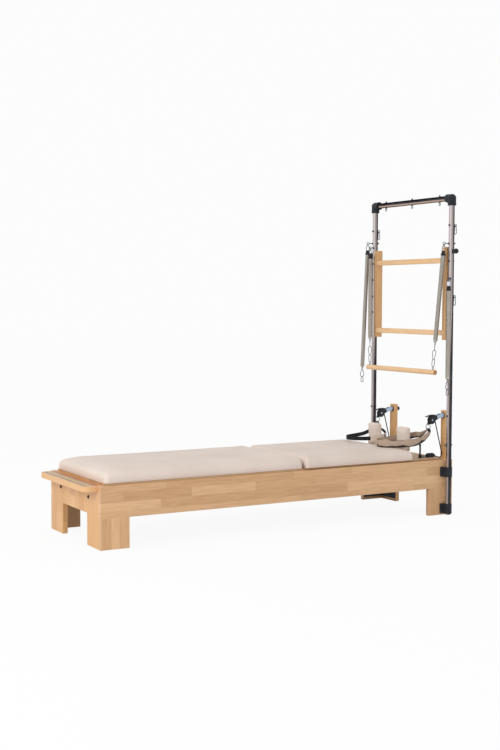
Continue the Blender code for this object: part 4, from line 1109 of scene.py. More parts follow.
def cap_screw(radius: float = 0.0045, height: float = 0.0028) -> Mesh:
    """A low round head with a hexagon socket, standing on the origin and facing Z.

    Args:
        radius: Radius of the head.
        height: Height of the head.

    Returns:
        The screw's mesh.
    """
    shape = Shape()
    shape.turn((0, 0, 0), UP, [(-0.001, radius * 0.9), (0.0, radius), (height * 0.5, radius * 0.96),
                               (height * 0.9, radius * 0.75), (height, radius * 0.55)], 20)
    shape.turn((0, 0, 0), UP, [(height * 0.35, 0.0), (height * 0.35, radius * 0.42),
                               (height * 1.01, radius * 0.42), (height * 1.01, radius * 0.56)], 6)
    return shape.data("cap_screw", crease=30)


@dataclass(frozen=True)
class EyeBolt:
    """A bolt with an eye, set through a tube."""

    centre: Vector
    out: Vector
    reach: float
    eye: float = 0.0080
    wire: float = 0.0022
    shank: float = 0.0030
    tail: float = 0.010

    def build(self, shape: Shape) -> None:
        """Adds the shank, thread, two nuts, washers and the eye to a shape.

        Args:
            shape: What they are added to.
        """
        start = self.centre - self.out * (TUBE + self.tail)
        shape.rod(start, self.centre + self.out * (self.reach - self.eye), self.shank, 16)
        shape.turn(start, self.out, [(0.0008 + 0.001 * i / 2, self.shank + (0.0004 if i % 2 else 0.0))
                                     for i in range(2 * int(self.tail / 0.001) - 2)], 16)
        for way in (-self.out, self.out):
            face = self.centre + way * TUBE
            shape.turn(face, way, [(-0.001, 0.0075), (0.0012, 0.0075), (0.0014, 0.0070)], 20)
            shape.turn(face + way * 0.0014, way, [(0.0, 0.0058), (0.0040, 0.0058), (0.0044, 0.0050)], 6)
        across = UP if abs(self.out.z) < 0.5 else ACROSS
        shape.ring(self.centre + self.out * self.reach, self.out, across, self.eye, self.wire)


def plain_bolt(shape: Shape, centre: Vector, out: Vector) -> None:
    """Adds a bolt through a post, with a domed head and a nut.

    Args:
        shape: What it is added to.
        centre: Where it crosses the post's middle.
        out: Direction of its head.
    """
    shape.turn(centre + out * (TUBE - 0.0008), out,
               [(0.0, 0.0066), (0.0016, 0.0064), (0.0032, 0.0052), (0.0042, 0.0030), (0.0045, 0.0)], 24)
    shape.turn(centre - out * (TUBE - 0.0008), -out, [(0.0, 0.0074), (0.0014, 0.0074)], 20)
    shape.turn(centre - out * (TUBE + 0.0006), -out, [(0.0, 0.0056), (0.0038, 0.0056), (0.0044, 0.0048)], 6)
    shape.rod(centre - out * (TUBE + 0.003), centre - out * (TUBE + 0.008), 0.003, 12)


def link(shape: Shape, top: Vector, along: Vector, across: Vector,
         sizes: tuple[float, float, float, float]) -> Vector:
    """Adds a link that is narrower at one end.

    Args:
        shape: What it is added to.
        top: Middle of its upper wire.
        along: Unit vector towards its lower wire.
        across: Unit vector in its plane, square to that.
        sizes: Length, half widths above and below, and wire radius.

    Returns:
        Middle of its lower wire.
    """
    length, upper, lower, wire = sizes
    path = arc(top + along * upper, across * upper, -along * upper, 10)
    path += arc(top + along * (length - lower), -across * lower, along * lower, 12)
    shape.sweep(path, circle(wire), True)
    return top + along * length


def snap_hook(shape: Shape, top: Vector, plane: Vector, length: float = 0.058) -> None:
    """Adds a snap hook that hangs from a wire.

    Args:
        shape: What it is added to.
        top: Middle of the hook's upper wire.
        plane: Level unit vector across the hook.
        length: Its whole length.
    """
    link(shape, top, DOWN, plane, (length - 0.0048, 0.0075, 0.0105, 0.0024))
    gate = [top + plane * 0.0076 + DOWN * 0.011, top + plane * 0.0104 + DOWN * (length - 0.018)]
    shape.rod(*gate, 0.0032, 14)
    shape.rod(gate[1] + UP * 0.002, gate[1] + DOWN * 0.004, 0.0036, 14)


# Bed


@dataclass
class Bed:
    """Planks, boards, platform, risers, tracks and the bar that the carriage springs hook on."""

    bolt_y: float = 0.210
    bolt_z: float = 0.275
    riser_back: float = 2.4703
    screw_count: int = 16
    plate_start: float = 2.258
    plate_inner: float = 0.186
    plate_wall: float = 0.003
    plate_low: float = 0.020
    plate_high: float = 0.170
    skin: float = 0.0003

    def dress_wood(self) -> None:
        """Finishes the CAD's own boards, whose shapes are right."""
        RAIL_WOOD.put_on("side_plank_near", "side_plank_far")
        END_WOOD.put_on("foot_end_board", "tower_end_board", "riser_near", "riser_far")
        PLATFORM_WOOD.put_on("standing_platform")
        INNER_WOOD.put_on("cross_member", "carriage_frame", "carriage_board", "mat_insert_board")
        ANODISED.put_on("track_near", "track_far")
        BAR_STEEL.put_on("spring_bar")

    def build_bolts(self) -> None:
        """Bolts in the foot end board and in the backs of the risers."""
        bolts = Copies(hex_bolt(0.0075, 0.0055), FASTENER)
        for side in Side:
            bolts.at((x_at(0.0), side.value * self.bolt_y, self.bolt_z), -ALONG, 0.3)
            for z in (0.225, 0.305):
                bolts.at((x_at(self.riser_back), side.value * ROPE_Y, z), ALONG, 0.5 * z)
        bolts.piece("end_board_bolts", "frame")

    def build_track_screws(self) -> None:
        """Screws that hold the tracks to the planks."""
        screws = Copies(cap_screw(0.0042, 0.0022), FASTENER)
        low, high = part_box("track_far")
        for i in range(self.screw_count):
            x = low.x + 0.05 + (high.x - low.x - 0.10) * i / (self.screw_count - 1)
            for side in Side:
                screws.at((x, side.value * low.y, low.z + 0.014), -side.out, 1.7 * i)
        screws.piece("track_screws", "frame")

    def build_corner_plates(self) -> None:
        """Black angle plates inside the legs at the tower end, with their screws."""
        shape = Shape()
        screws = Copies(cap_screw(), DARK_FASTENER)
        start, end = x_at(self.plate_start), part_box("tower_end_board")[0].x - self.skin
        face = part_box("side_plank_far")[0].y - self.skin
        wall, back = face - self.plate_wall, end - self.plate_wall
        outline = [(start, face), (start, wall), (back, wall), (back, self.plate_inner), (end, self.plate_inner),
                   (end, face)]
        for side in Side:
            shape.prism([(x, side.value * y) for x, y in outline], self.plate_low, self.plate_high, Axis.Z, 0.0008)
            for z in (0.05, 0.14):
                for x in (start + 0.025, end - 0.04):
                    screws.at((x, side.value * wall, z), -side.out, 9.0 * z)
                for y in (self.plate_inner + 0.02, face - 0.03):
                    screws.at((back, side.value * y, z), -ALONG, 7.0 * z)
        shape.piece("leg_corner_plates", BLACK_STEEL, "frame")
        screws.piece("corner_plate_screws", "frame")

    def build(self) -> None:
        """Dresses and builds everything of the bed."""
        self.dress_wood()
        self.build_bolts()
        self.build_track_screws()
        self.build_corner_plates()


# Carriage


@dataclass
class Wheelset:
    """An axle with a grooved wheel at each end."""

    name: str
    track_y: float = 0.3312
    rim: float = 0.024
    groove: float = 0.019
    half: float = 0.010
    foot: float = 0.0010
    flank: float = 0.0055
    axle: float = 0.005

    def build(self) -> None:
        """Makes the axle with its collars, and the two wheels with hub rings."""
        at, body, rim, half = middle(self.name), home(self.name), self.rim, self.half
        inner = self.track_y - half
        axle, wheels = Shape(), Shape()
        axle.rod(at - ACROSS * inner, at + ACROSS * inner, self.axle)
        profile = mirrored([(self.foot, self.groove), (self.flank, rim), (half - 0.001, rim), (half, rim - 0.001),
                            (half, rim - 0.004), (half - 0.002, rim - 0.005), (half - 0.002, 0.011),
                            (half, 0.010), (half, 0.0)])
        for side in Side:
            axle.turn(at + side.out * (inner - 0.010), ACROSS, mirrored([(0.0034, 0.0095), (0.004, 0.0085)]))
            wheels.turn(at + side.out * self.track_y, ACROSS, profile, 48, True)
        axle.piece(self.name + "_axle", FASTENER, body)
        wheels.piece(self.name + "_wheels", RUBBER, body, self.name)


@dataclass
class CarriageSpring:
    """A close-wound spring between the two hook bars under the carriage."""

    name: str
    outer: float = 0.014
    wire: float = 0.0023
    eye: float = 0.0115
    inner: float = 0.0315

    def build(self) -> None:
        """Makes the coil, its tapered ends and its two eyes."""
        low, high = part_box(self.name)
        body = home(self.name)
        low.y = high.y = middle(self.name).y
        low.z = high.z = middle(self.name).z
        ends = [(low + ALONG * self.eye, ALONG), (high - ALONG * self.eye, -ALONG)]
        start, stop = (end + way * self.inner for end, way in ends)
        wind(self.name, start, stop, (self.outer, self.wire, 2.1 * self.wire), body)
        shape = Shape()
        for end, way in ends:
            shape.ring(end, ALONG, UP, 0.0090, self.wire, 10)
            shape.turn(end, way, [(0.0088, 0.0030), (0.0115, 0.0060), (self.inner, self.outer - 0.0012),
                                  (self.inner + 0.004, 0.0085)], 20)
        shape.piece(self.name + "_ends", SPRING_STEEL, body)


@dataclass
class RopeLock:
    """The post that a rope starts from and the lock block beside it."""

    side: Side
    half: float = 0.013
    height: float = 0.025
    shoulder: float = 0.019
    base: float = 0.003

    def build(self) -> None:
        """Makes the base plate, post, block with its bore lip and its screws."""
        name = "rope_lock_" + self.side.label
        low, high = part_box(name)
        y, body = middle(name).y, home(name)
        start, end = (x_at(x) for x in LOCK)
        plate, stop, top = DECK_TOP + self.base, end - 0.004, high.z - DECK_TOP
        shape = Shape()
        shape.prism([(low.x, y - 0.012), (stop, y - 0.012), (stop, y + 0.012), (low.x, y + 0.012)], DECK_TOP, plate,
                    Axis.Z, 0.0008)
        shape.turn((x_at(LOCK_POST_X), y, DECK_TOP), UP, [
            (self.base / 2, 0.0095), (self.base + 0.002, 0.0080), (self.base + 0.006, 0.0058), (top - 0.012, 0.0055),
            (top - 0.010, 0.0070), (top - 0.002, 0.0070), (top, 0.0052), (top, 0.0)], 28)
        shape.piece(name + "_post", PLASTIC, body, name)
        lock = Shape()
        edge, roof = DECK_TOP + self.shoulder, DECK_TOP + self.height
        lock.prism([(start, plate), (end, plate), (end, edge), (end - 0.008, roof), (start + 0.008, roof),
                    (start, edge)], y - self.half, y + self.half, Axis.Y, 0.002)
        for face, way in ((start, -ALONG), (end, ALONG)):
            lock.turn((face, y, ROPE_Z), way, [(-0.001, 0.0078), (0.0016, 0.0074), (0.0016, 0.0046),
                                               (-0.001, 0.0044)], 24, True)
        lock.piece(name + "_block", BLACK_STEEL, body)
        screws = Copies(cap_screw(), FASTENER)
        for x in (start + 0.014, end - 0.014):
            screws.at((x, y, roof), UP, 3.0 * x)
        screws.piece(name + "_screws", body)


@dataclass
class RestBracket:
    """The steel angle behind a shoulder rest."""

    side: Side
    levels: tuple[float, float] = (0.435, 0.478)
    apart: float = 0.016

    def build(self) -> None:
        """Finishes the angle and sets its screws."""
        name = "shoulder_bracket_" + self.side.label
        BLACK_STEEL.put_on(name)
        screws = Copies(cap_screw(), FASTENER)
        for z in self.levels:
            for shift in (-self.apart, self.apart):
                screws.at((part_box(name)[1].x, middle(name).y + shift, z), ALONG, 40.0 * z)
        screws.piece(name + "_screws", home(name))


# Cushions


class Rest(Enum):
    """The face of a cushion that lies on something flat, with the way that it faces."""

    BOTTOM = (Axis.Z, -1)
    BACK = (Axis.X, 1)


@dataclass
class Cushion:
    """An upholstered foam pad, blown up from a slightly smaller block."""

    node: str
    rest: Rest = Rest.BOTTOM
    inset: float = 0.003
    crown: float = 0.017
    edge: float = 0.025
    voxel: float = 0.007
    limit: float = 0.004
    fill: float = 0.9
    pucker: float = 0.0012
    fall: tuple[float, float] = (0.120, 0.120)
    side_fall: float = 0.050
    lift: float = 0.004
    frames: int = 20
    shape: Object = field(init=False)
    start: list[Vector] = field(init=False)
    skin: BVHTree = field(init=False)

    def corners(self) -> tuple[Vector, Vector]:
        """The block that the pad starts from, flush only with the face that it rests on.

        Returns:
            Its lowest and its highest corner.
        """
        low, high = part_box(self.node)
        axis, way = self.rest.value
        inset = Vector((self.inset,) * 3)
        low, high = low + inset, high - inset
        if way < 0:
            low[axis] -= self.inset
            high.z += self.lift - self.crown
        else:
            high[axis] += self.inset
        return low, high

    def layers(self) -> list[list[Vector]]:
        """Rounded outlines from the resting face up to the soft one.

        Returns:
            The points of each outline.
        """
        low, high = self.corners()
        axis, way = self.rest.value
        across = [index for index in Axis if index != axis]
        base, depth = (high if way > 0 else low)[axis], (high - low)[axis]
        levels = [(0.0, 0.003), (0.004, 0.0)]
        levels += [(depth - self.edge * (1 - math.sin(turn)), self.edge * (1 - math.cos(turn)))
                   for turn in turns(0, math.pi / 2, 5)]
        rows = []
        for level, inset in levels:
            radius = self.edge * 1.2 - inset * 0.6
            rows.append([])
            for i in range(24):
                turn = 2 * math.pi * (i + 0.5) / 24
                place = Vector()
                place[axis] = base - way * level
                for index, share in zip(across, (math.cos(turn), math.sin(turn))):
                    reach = (high[index] - low[index]) / 2 - inset - radius
                    place[index] = (high[index] + low[index]) / 2 + math.copysign(reach, share) + radius * share
                rows[-1].append(place)
        return rows

    def begin(self) -> None:
        """Makes the block, crowned and cut into even faces."""
        low, high = self.corners()
        base = Shape()
        base.loft(self.layers())
        self.shape = add_object(self.node + "_cushion", base.data(self.node + "_shape"))
        cut = self.shape.modifiers.new("even", "REMESH")
        cut.mode, cut.voxel_size = "VOXEL", self.voxel
        self.bake()
        if self.crown:
            for vert in self.shape.data.vertices:
                rise = max((vert.co.z - low.z) / (high.z - low.z), 0.0)
                side = min(vert.co.y - low.y, high.y - vert.co.y) / self.side_fall
                for near in ((vert.co.x - low.x) / self.fall[0], (high.x - vert.co.x) / self.fall[1], side):
                    rise *= 1 - (1 - min(max(near, 0.0), 1.0)) ** 2.2
                vert.co.z += self.crown * rise
        self.start = [vert.co.copy() for vert in self.shape.data.vertices]

    def bake(self) -> None:
        """Turns the evaluated shape into the cushion's own mesh."""
        data = baked(self.shape)
        self.shape.modifiers.clear()
        self.shape.data = data

    def blow_up(self) -> None:
        """Sets up the cloth, with the resting face held."""
        low, high = self.corners()
        axis, way = self.rest.value
        level = (low if way < 0 else high)[axis]
        held = self.shape.vertex_groups.new(name="held")
        held.add([v.index for v in self.shape.data.vertices if abs(v.co[axis] - level) < 0.6 * self.voxel], 1.0,
                 "REPLACE")
        cloth = self.shape.modifiers.new("cloth", "CLOTH")
        for key, value in {"vertex_group_mass": "held", "quality": 4, "mass": 0.3, "tension_stiffness": 18,
                           "compression_stiffness": 18, "shear_stiffness": 6, "bending_stiffness": 0.6,
                           "use_pressure": True, "uniform_pressure_force": 4.0}.items():
            setattr(cloth.settings, key, value)
        cloth.settings.effector_weights.gravity = 0.0
        cloth.collision_settings.use_collision = False
        cloth.point_cache.frame_start, cloth.point_cache.frame_end = 1, self.frames

    def settle(self) -> None:
        """Keeps the blown shape, with every point's move held to the limit."""
        blown = self.shape.evaluated_get(bpy.context.evaluated_depsgraph_get()).data
        moves = [vert.co - start for vert, start in zip(blown.vertices, self.start)]
        self.shape.modifiers.clear()
        self.shape.vertex_groups.clear()
        for vert, start, move in zip(self.shape.data.vertices, self.start, moves):
            vert.co = start + move * min(self.limit / max(move.length, 1e-9), 1.0)

    def end(self) -> None:
        """Puckers the lower edge, subdivides, and hands the pad over as a piece."""
        low, high = self.corners()
        if self.pucker:
            height = (high.z - low.z) * 0.5
            normals = [vert.normal.copy() for vert in self.shape.data.vertices]
            for vert, normal in zip(self.shape.data.vertices, normals):
                near = max(1 - (vert.co.z - low.z) / height, 0.0) if vert.co.z > low.z + 0.004 else 0.0
                run = vert.co.x + vert.co.y
                wave = math.sin(run * 71.0) * math.sin(run * 29.0 + 1.0) + 0.5 * math.sin(run * 173.0)
                vert.co -= Vector((*normal.xy, 0.0)) * near * self.pucker * (0.6 + 0.4 * wave)
        finer = self.shape.modifiers.new("finer", "SUBSURF")
        finer.levels = finer.render_levels = 1
        self.bake()
        data = self.shape.data
        self.skin = BVHTree.FromPolygons([v.co for v in data.vertices], [p.vertices for p in data.polygons])
        for polygon in data.polygons:
            polygon.use_smooth = True
        data.materials.clear()
        data.materials.append(VINYL.material())
        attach(self.shape, home(self.node))
        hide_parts(self.node)

    def border(self, z: float, step: float = 0.01) -> list[Vector]:
        """A closed line round the pad's sides, laid on its skin.

        Args:
            z: Height of the line.
            step: Distance between its points.

        Returns:
            The points of the line.
        """
        low, high = self.corners()
        corner, far, lift = self.edge + 0.004, 0.05, 0.0001
        runs = []
        for axis in (Axis.X, Axis.Y):
            count = round((high[axis] - low[axis]) / step)
            size = high[axis] - low[axis] - 2 * corner
            runs.append([low[axis] + corner + size * i / count for i in range(count + 1)])
        xs, ys = runs
        rows = [(Vector((x, low.y - far, z)), ACROSS) for x in xs]
        rows += [(Vector((high.x + far, y, z)), -ALONG) for y in ys]
        rows += [(Vector((x, high.y + far, z)), -ACROSS) for x in reversed(xs)]
        rows += [(Vector((low.x - far, y, z)), ALONG) for y in reversed(ys)]
        hits = [self.skin.ray_cast(point, way) for point, way in rows]
        line = [hit + normal * lift for hit, normal, _, _ in hits if hit]
        return [*line, line[0]]

    def sew(self) -> None:
        """Seams with their stitches round the sides."""
        low, high = self.corners()
        if self.rest is Rest.BOTTOM:
            rows, sizes = [self.border(low.z + 0.009)], (0.0055, 0.0040, 0.0009)
        else:
            rows = [self.border(z, 0.004) for z in (low.z + 0.012, high.z - 0.014)]
            sizes = (0.0045, 0.0032, 0.0008)
        stitches(self.node + "_stitches", rows, home(self.node), *sizes)


@dataclass
class Upholstery:
    """The two long mats and the two shoulder rests."""

    cushions: list[Cushion] = field(default_factory=lambda: [
        Cushion("mat_insert_pad", fall=(0.130, 0.030)), Cushion("carriage_pad", fall=(0.030, 0.130)),
        *[Cushion("shoulder_rest_" + side.label, Rest.BACK, crown=0.0, edge=0.010, voxel=0.0045, limit=0.005,
                  fill=0.8, pucker=0.0) for side in Side]])

    def simulate(self) -> None:
        """Blows all the cushions up side by side."""
        scene = bpy.context.scene
        for cushion in self.cushions:
            cushion.blow_up()
        for number in range(1, self.cushions[0].frames + 1):
            scene.frame_set(number)
        for cushion in self.cushions:
            cushion.settle()
        scene.frame_set(1)

    def build(self) -> None:
        """Makes the cushions, blows them up and sews them."""
        for cushion in self.cushions:
            cushion.begin()
        self.simulate()
        for cushion in self.cushions:
            cushion.end()
        for cushion in self.cushions:
            cushion.sew()


# Rope gear


@dataclass
class PulleyArm:
    """A pulley's arm through its riser, with the housing, flange and knob."""

    side: Side
    riser_x: float = 2.4403
    riser_thick: float = 0.030
    arm_z: float = 0.628
    cheek: float = 0.0027
    gap: float = 0.0075
    yoke: float = 0.036
    knuckle: float = 0.026
    blade: Profile = ((-0.036, 0.0345), (-0.034, 0.0385), (0.004, 0.0345), (0.030, 0.0255), (0.044, 0.0135),
                      (0.036, 0.0080), (0.024, 0.0200), (0.000, 0.0300))
    bridge: Profile = ((0.036, 0.0135), (0.049, 0.0115), (0.049, -0.0115), (0.036, -0.0135))

    def build(self) -> None:
        """Makes the black housing and knob, the bright arm, flange and pin."""
        name = "pulley_bracket_" + self.side.label
        y, body = middle(name).y, home(name)
        base = Vector((x_at(self.riser_x), y, self.arm_z))
        knee = base - ALONG * self.knuckle
        hub = Vector((x_at(PULLEY[0]), y, PULLEY[1]))
        slope = (knee - hub).normalized()
        square = Vector((-slope.z, 0.0, slope.x))
        half = self.gap + self.cheek

        def placed(outline: Profile) -> list[tuple[float, float]]:
            """An outline along and square to the arm, as X and Z."""
            points = [hub + slope * a + square * b for a, b in outline]
            return [(point.x, point.z) for point in points]

        housing = Shape()
        for way in (-1, 1):
            housing.prism(placed(self.cheek_outline()), *sorted((y + way * self.gap, y + way * half)), Axis.Y, 0.0009)
        for outline, edge in ((self.bridge, 0.002), (self.blade, 0.0012)):
            housing.prism(placed(outline), y - half, y + half, Axis.Y, edge)
        housing.turn(base + ALONG * self.riser_thick, ALONG, [
            (0.0004, 0.010), (0.002, 0.0115), (0.006, 0.0150), (0.020, 0.0150), (0.026, 0.0125), (0.030, 0.0070),
            (0.030, 0.0)], 40)
        housing.turn(base, -ALONG, [(0.0002, 0.0090), (0.0002, 0.0205), (0.0020, 0.0205), (0.0028, 0.0195),
                                    (0.0028, 0.0090)], 44, True)
        housing.piece(name + "_housing", PLASTIC, body, name)
        arm = Shape()
        start = hub + slope * (self.yoke + 0.010)
        square_tube = [(math.copysign(0.0095, a) + a * 0.0025, math.copysign(0.0095, b) + b * 0.0025)
                       for a, b in circle(1.0, 20)]
        arm.sweep([start - slope * 0.004, start + slope * 0.006, knee, base - ALONG * 0.004 - UP * 0.001],
                  square_tube)
        arm.turn(base, -ALONG, [(0.0003, 0.0172), (0.0008, 0.0175), (0.0055, 0.0175), (0.0075, 0.0155),
                                (0.0080, 0.0090)], 44)
        for way in (-ACROSS, ACROSS):
            arm.turn(hub + way * (half - 0.0006), way, [(0.0, 0.0062), (0.0014, 0.0060), (0.0022, 0.0044),
                                                        (0.0022, 0.0)], 24)
        arm.rod(hub - ACROSS * half, hub + ACROSS * half, 0.004)
        arm.piece(name + "_arm", BRACKET_STEEL, body)

    def cheek_outline(self) -> list[tuple[float, float]]:
        """Outline of one side of the housing: a round cheek with claw-like corners and a neck to the arm.

        Returns:
            Its points along and square to the arm.
        """
        points = [(self.yoke + 0.010, 0.0115), (self.yoke + 0.010, -0.0115)]
        for i in range(25):
            turn = math.radians(-32 - 12 * i)
            reach = 0.0262 if i % 8 not in (3, 4) else 0.0246
            points.append((math.cos(turn) * reach, math.sin(turn) * reach))
        return points


@dataclass
class PulleyWheel:
    """A grooved pulley wheel with a hub and a bearing."""

    side: Side
    groove: Profile = ((0.0, 0.0228), (0.0022, 0.0240), (0.0045, 0.0280), (0.0058, 0.0280), (0.0065, 0.0272),
                       (0.0065, 0.0215), (0.0040, 0.0205), (0.0040, 0.0115), (0.0065, 0.0105), (0.0065, 0.0085))

    def build(self) -> None:
        """Makes the wheel and the bearing in its middle."""
        name = "pulley_wheel_" + self.side.label
        at = pivot(self.side.label + "_pulley_spin")
        at.y = middle(name).y
        wheel, bearing = Shape(), Shape()
        wheel.turn(at, ACROSS, mirrored(self.groove), 64, True)
        wheel.piece(name + "_wheel", PLASTIC, home(name), name)
        bearing.turn(at, ACROSS, mirrored([(0.0066, 0.0048), (0.0066, 0.0083)]), 32, True)
        bearing.piece(name + "_bearing", FASTENER, home(name))


@dataclass
class Rope:
    """A rope from its post on the carriage, past the lock and up over the pulley, down to the loop's ring."""

    side: Side
    radius: float = 0.0035
    start_x: float = 2.2618
    bend: Profile = ((2.3950, 0.3605), (2.4180, 0.3575), (2.4290, 0.3735), (2.4265, 0.4000))
    wrap: float = 0.0263
    ring_top: float = 0.5816

    def route(self, y: float) -> tuple[list[Vector], list[Vector]]:
        """The rope's line at a Y, up to the pulley's top and from there down to the ring.

        Args:
            y: Where the rope lies across the bed.

        Returns:
            The points of both lengths.
        """
        r = self.radius
        low = [(self.start_x, ROPE_Z), (LOCK[0], ROPE_Z), (LOCK[1] - r, ROPE_Z), (LOCK[1] + r, ROPE_Z - r / 4),
               *self.bend]
        start, wheel = Vector(low[-1]), Vector(PULLEY)
        away = start - wheel
        touch = math.atan2(away.y, away.x) + math.acos(self.wrap / away.length)
        over = [wheel + self.wrap * heading(turn).xy for turn in turns(touch, math.pi, 6)]
        low += [start.lerp(over[0], share) for share in (0.35, 0.7, 0.95)]
        drop = [(LANE_X, PULLEY[1] - 0.008), (LANE_X, self.ring_top)]
        curve = smooth_path([Vector((x_at(p[0]), y, p[1])) for p in (*low, *over, *drop)])
        cut = 4 * (len(low) + 3)
        return curve[:cut + 1], curve[cut:]

    def build(self) -> None:
        """Makes the two lengths and the turns on their ends."""
        name = "rope_" + self.side.label
        y = middle(name).y
        ends = (("_lower", (x_at(2.3970), y, 0.3605), (0.01552, 0.0, 0.00621), [name]),
                ("_drop", (x_at(LANE_X), y, 0.585), (0.0, 0.0, 0.015), []))
        for path, (label, start, along, nodes) in zip(self.route(y), ends):
            shape = Shape()
            shape.sweep(path, circle(self.radius, 14))
            made = add_object(name + label, shape.data(name + label, [CORD]))
            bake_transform(made)
            if nodes:
                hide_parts(*nodes)
        knot = Shape()
        for lift in (0.0, 0.0062):
            knot.ring(Vector((x_at(LOCK_POST_X), y, ROPE_Z + lift)), ALONG, ACROSS, 0.0088, self.radius * 0.9)
        knot.oval(Vector((x_at(LANE_X), y, RING_Z + RING)), UP, ACROSS, 0.0072, 0.0062, 0.0028, 10)
        knot.piece(name + "_turns", CORD, "carriage")


@dataclass
class FootLoop:
    """A webbing loop on a ring, with a padded sleeve over its wide part."""

    side: Side
    stations: tuple[tuple[float, float, float, float, float], ...] = (
        (0.0000, -0.013, 0.026, 0.022, 0.0), (0.0127, -0.016, 0.050, 0.026, 0.2),
        (0.0537, -0.014, 0.076, 0.044, 0.9), (0.1037, -0.014, 0.094, 0.048, 1.0),
        (0.1687, -0.006, 0.101, 0.048, 1.0), (0.2387, 0.016, 0.103, 0.048, 1.0),
        (0.2937, 0.055, 0.103, 0.048, 1.0), (0.3087, 0.105, 0.103, 0.048, 1.0),
        (0.2887, 0.155, 0.103, 0.048, 1.0), (0.2337, 0.192, 0.103, 0.048, 1.0),
        (0.1687, 0.209, 0.101, 0.048, 1.0), (0.1037, 0.210, 0.097, 0.048, 1.0),
        (0.0567, 0.178, 0.084, 0.046, 1.0), (0.0347, 0.120, 0.068, 0.040, 1.0),
        (0.0187, 0.055, 0.054, 0.030, 0.7), (0.0000, 0.013, 0.026, 0.022, 0.0))
    steps: int = 6

    def line(self) -> list[tuple[Vector, Vector, Vector, float]]:
        """Points of the loop, each with its direction across, its direction outwards, and its width.

        Returns:
            A row for each point.
        """
        s = self.side.value
        places = [Vector((x_at(LANE_X - back), s * (ROPE_Y - inward), RING_Z - drop))
                  for back, inward, drop, _, _ in self.stations]
        places.append(Vector((x_at(LANE_X), s * ROPE_Y, RING_Z - RING + 0.0017)))
        sizes = [Vector((width, lean, 0.0)) for *_, width, lean in self.stations] + [Vector((0.020, 0.0, 0.0))]
        path = smooth_path(places, self.steps, True)
        widths = smooth_path(sizes, self.steps, True)
        rows = []
        for i, (point, size) in enumerate(zip(path, widths)):
            along = (path[(i + 1) % len(path)] - path[i - 1]).normalized()
            across = (-ALONG).lerp(UP, min(max(size.y, 0.0), 1.0))
            across = (across - along * across.dot(along)).normalized()
            rows.append((point, across, along.cross(across), size.x))
        point, _, out, _ = rows[len(rows) // 2]
        flip = -1 if out.dot(point - sum(path, Vector()) / len(path)) < 0 else 1
        return [(point, across, out * flip, width) for point, across, out, width in rows]

    def build(self) -> None:
        """Makes the webbing, the sleeve, the stitching and the ring."""
        name = "foot_loop_" + self.side.label
        body = home(name)
        rows = self.line()
        near = self.side is Side.NEAR
        webbing = Shape()
        webbing.loft([self.band(*row[:3], row[3] * (0.5 if near else 0.27), 0.0012, 0.0) for row in rows], True)
        webbing.piece(name + "_webbing", WEBBING, body, name)
        start, stop = (round(share * len(rows)) for share in ((0.03, 0.93) if near else (0.56, 0.70)))
        wide = []
        for i, (point, across, out, width) in enumerate(rows[start:stop]):
            ease = min(i, stop - start - 1 - i, 3) / 3
            wave = math.sin(i * 0.42) + 0.6 * math.sin(i * 0.97 + 1.0)
            size = width * (0.40 if near else 0.44) * (0.9 + 0.1 * ease) + 0.0026 * wave
            shifted = point + across * (width * 0.10 + 0.0016 * math.sin(i * 0.61)) * near + out * 0.0020 * wave
            wide.append((shifted, across, out, size, 0.0024 + 0.0020 * ease))
        sleeve = Shape()
        sleeve.loft([self.band(*row, 0.5) for row in wide])
        # The near sleeve takes the cloth with painted shade, the far one the pale cloth.
        sleeve.piece(name + "_sleeve", SLING_PAINTED_SHADE if near else PALE_SLING, body)
        seams = [[point + across * way * (size - 0.005) + out * (thick + 0.0002)
                  for point, across, out, size, thick in wide[2:-2]] for way in (-1, 1)]
        stitches(name + "_stitches", seams, body, 0.0048, 0.0034, 0.0008)
        ring = Shape()
        ring.ring(Vector((x_at(LANE_X), self.side.value * ROPE_Y, RING_Z)), UP, ALONG, RING, 0.0022, 20)
        ring.piece(name + "_ring", FASTENER, body)

    def band(self, point: Vector, across: Vector, out: Vector, half: float, thick: float,
             full: float) -> list[Vector]:
        """One section of the strap, outer side first.

        Args:
            point: Its middle.
            across: Unit vector of its width.
            out: Unit vector of its thickness.
            half: Half its width.
            thick: Half its thickness.
            full: How full its middle is over its edges.

        Returns:
            The section's points.
        """
        ring = []
        for i in range(16):
            turn = math.pi * (i + 0.5) / 8
            flat = math.copysign(abs(math.cos(turn)) ** 0.45, math.cos(turn))
            lift = math.copysign(abs(math.sin(turn)) ** (0.35 + 0.4 * full), math.sin(turn))
            ring.append(point + across * half * flat + out * thick * lift)
        return ring


# Tower


@dataclass(frozen=True)
class Hanger:
    """The eye bolt that a tower spring hangs on, leaning in degrees from straight towards the foot end."""

    kind: str
    side: Side
    z: float
    lean: float
    reach: float = 0.050

    @property
    def way(self) -> Vector:
        """The level direction of the eye."""
        return heading(math.pi + self.side.value * math.radians(self.lean))

    @property
    def hang(self) -> Vector:
        """Middle of the top wire of a ring hung in the eye."""
        return post_at(self.side, self.z + 0.0022 + 0.0018 + 0.0006 - 0.008) + self.way * self.reach

    def build(self) -> None:
        """Makes the bolt."""
        name = f"{self.kind}_spring_eye_{self.side.label}"
        shape = Shape()
        EyeBolt(post_at(self.side, self.z), self.way, self.reach).build(shape)
        shape.piece(name + "_bolt", FASTENER, home(name), name)


ARM_HANGERS = {side: Hanger("arm", side, 1.731, 15.0) for side in Side}
LEG_HANGERS = {side: Hanger("leg", side, z, -35.0) for side, z in ((Side.NEAR, 1.510), (Side.FAR, 1.762))}


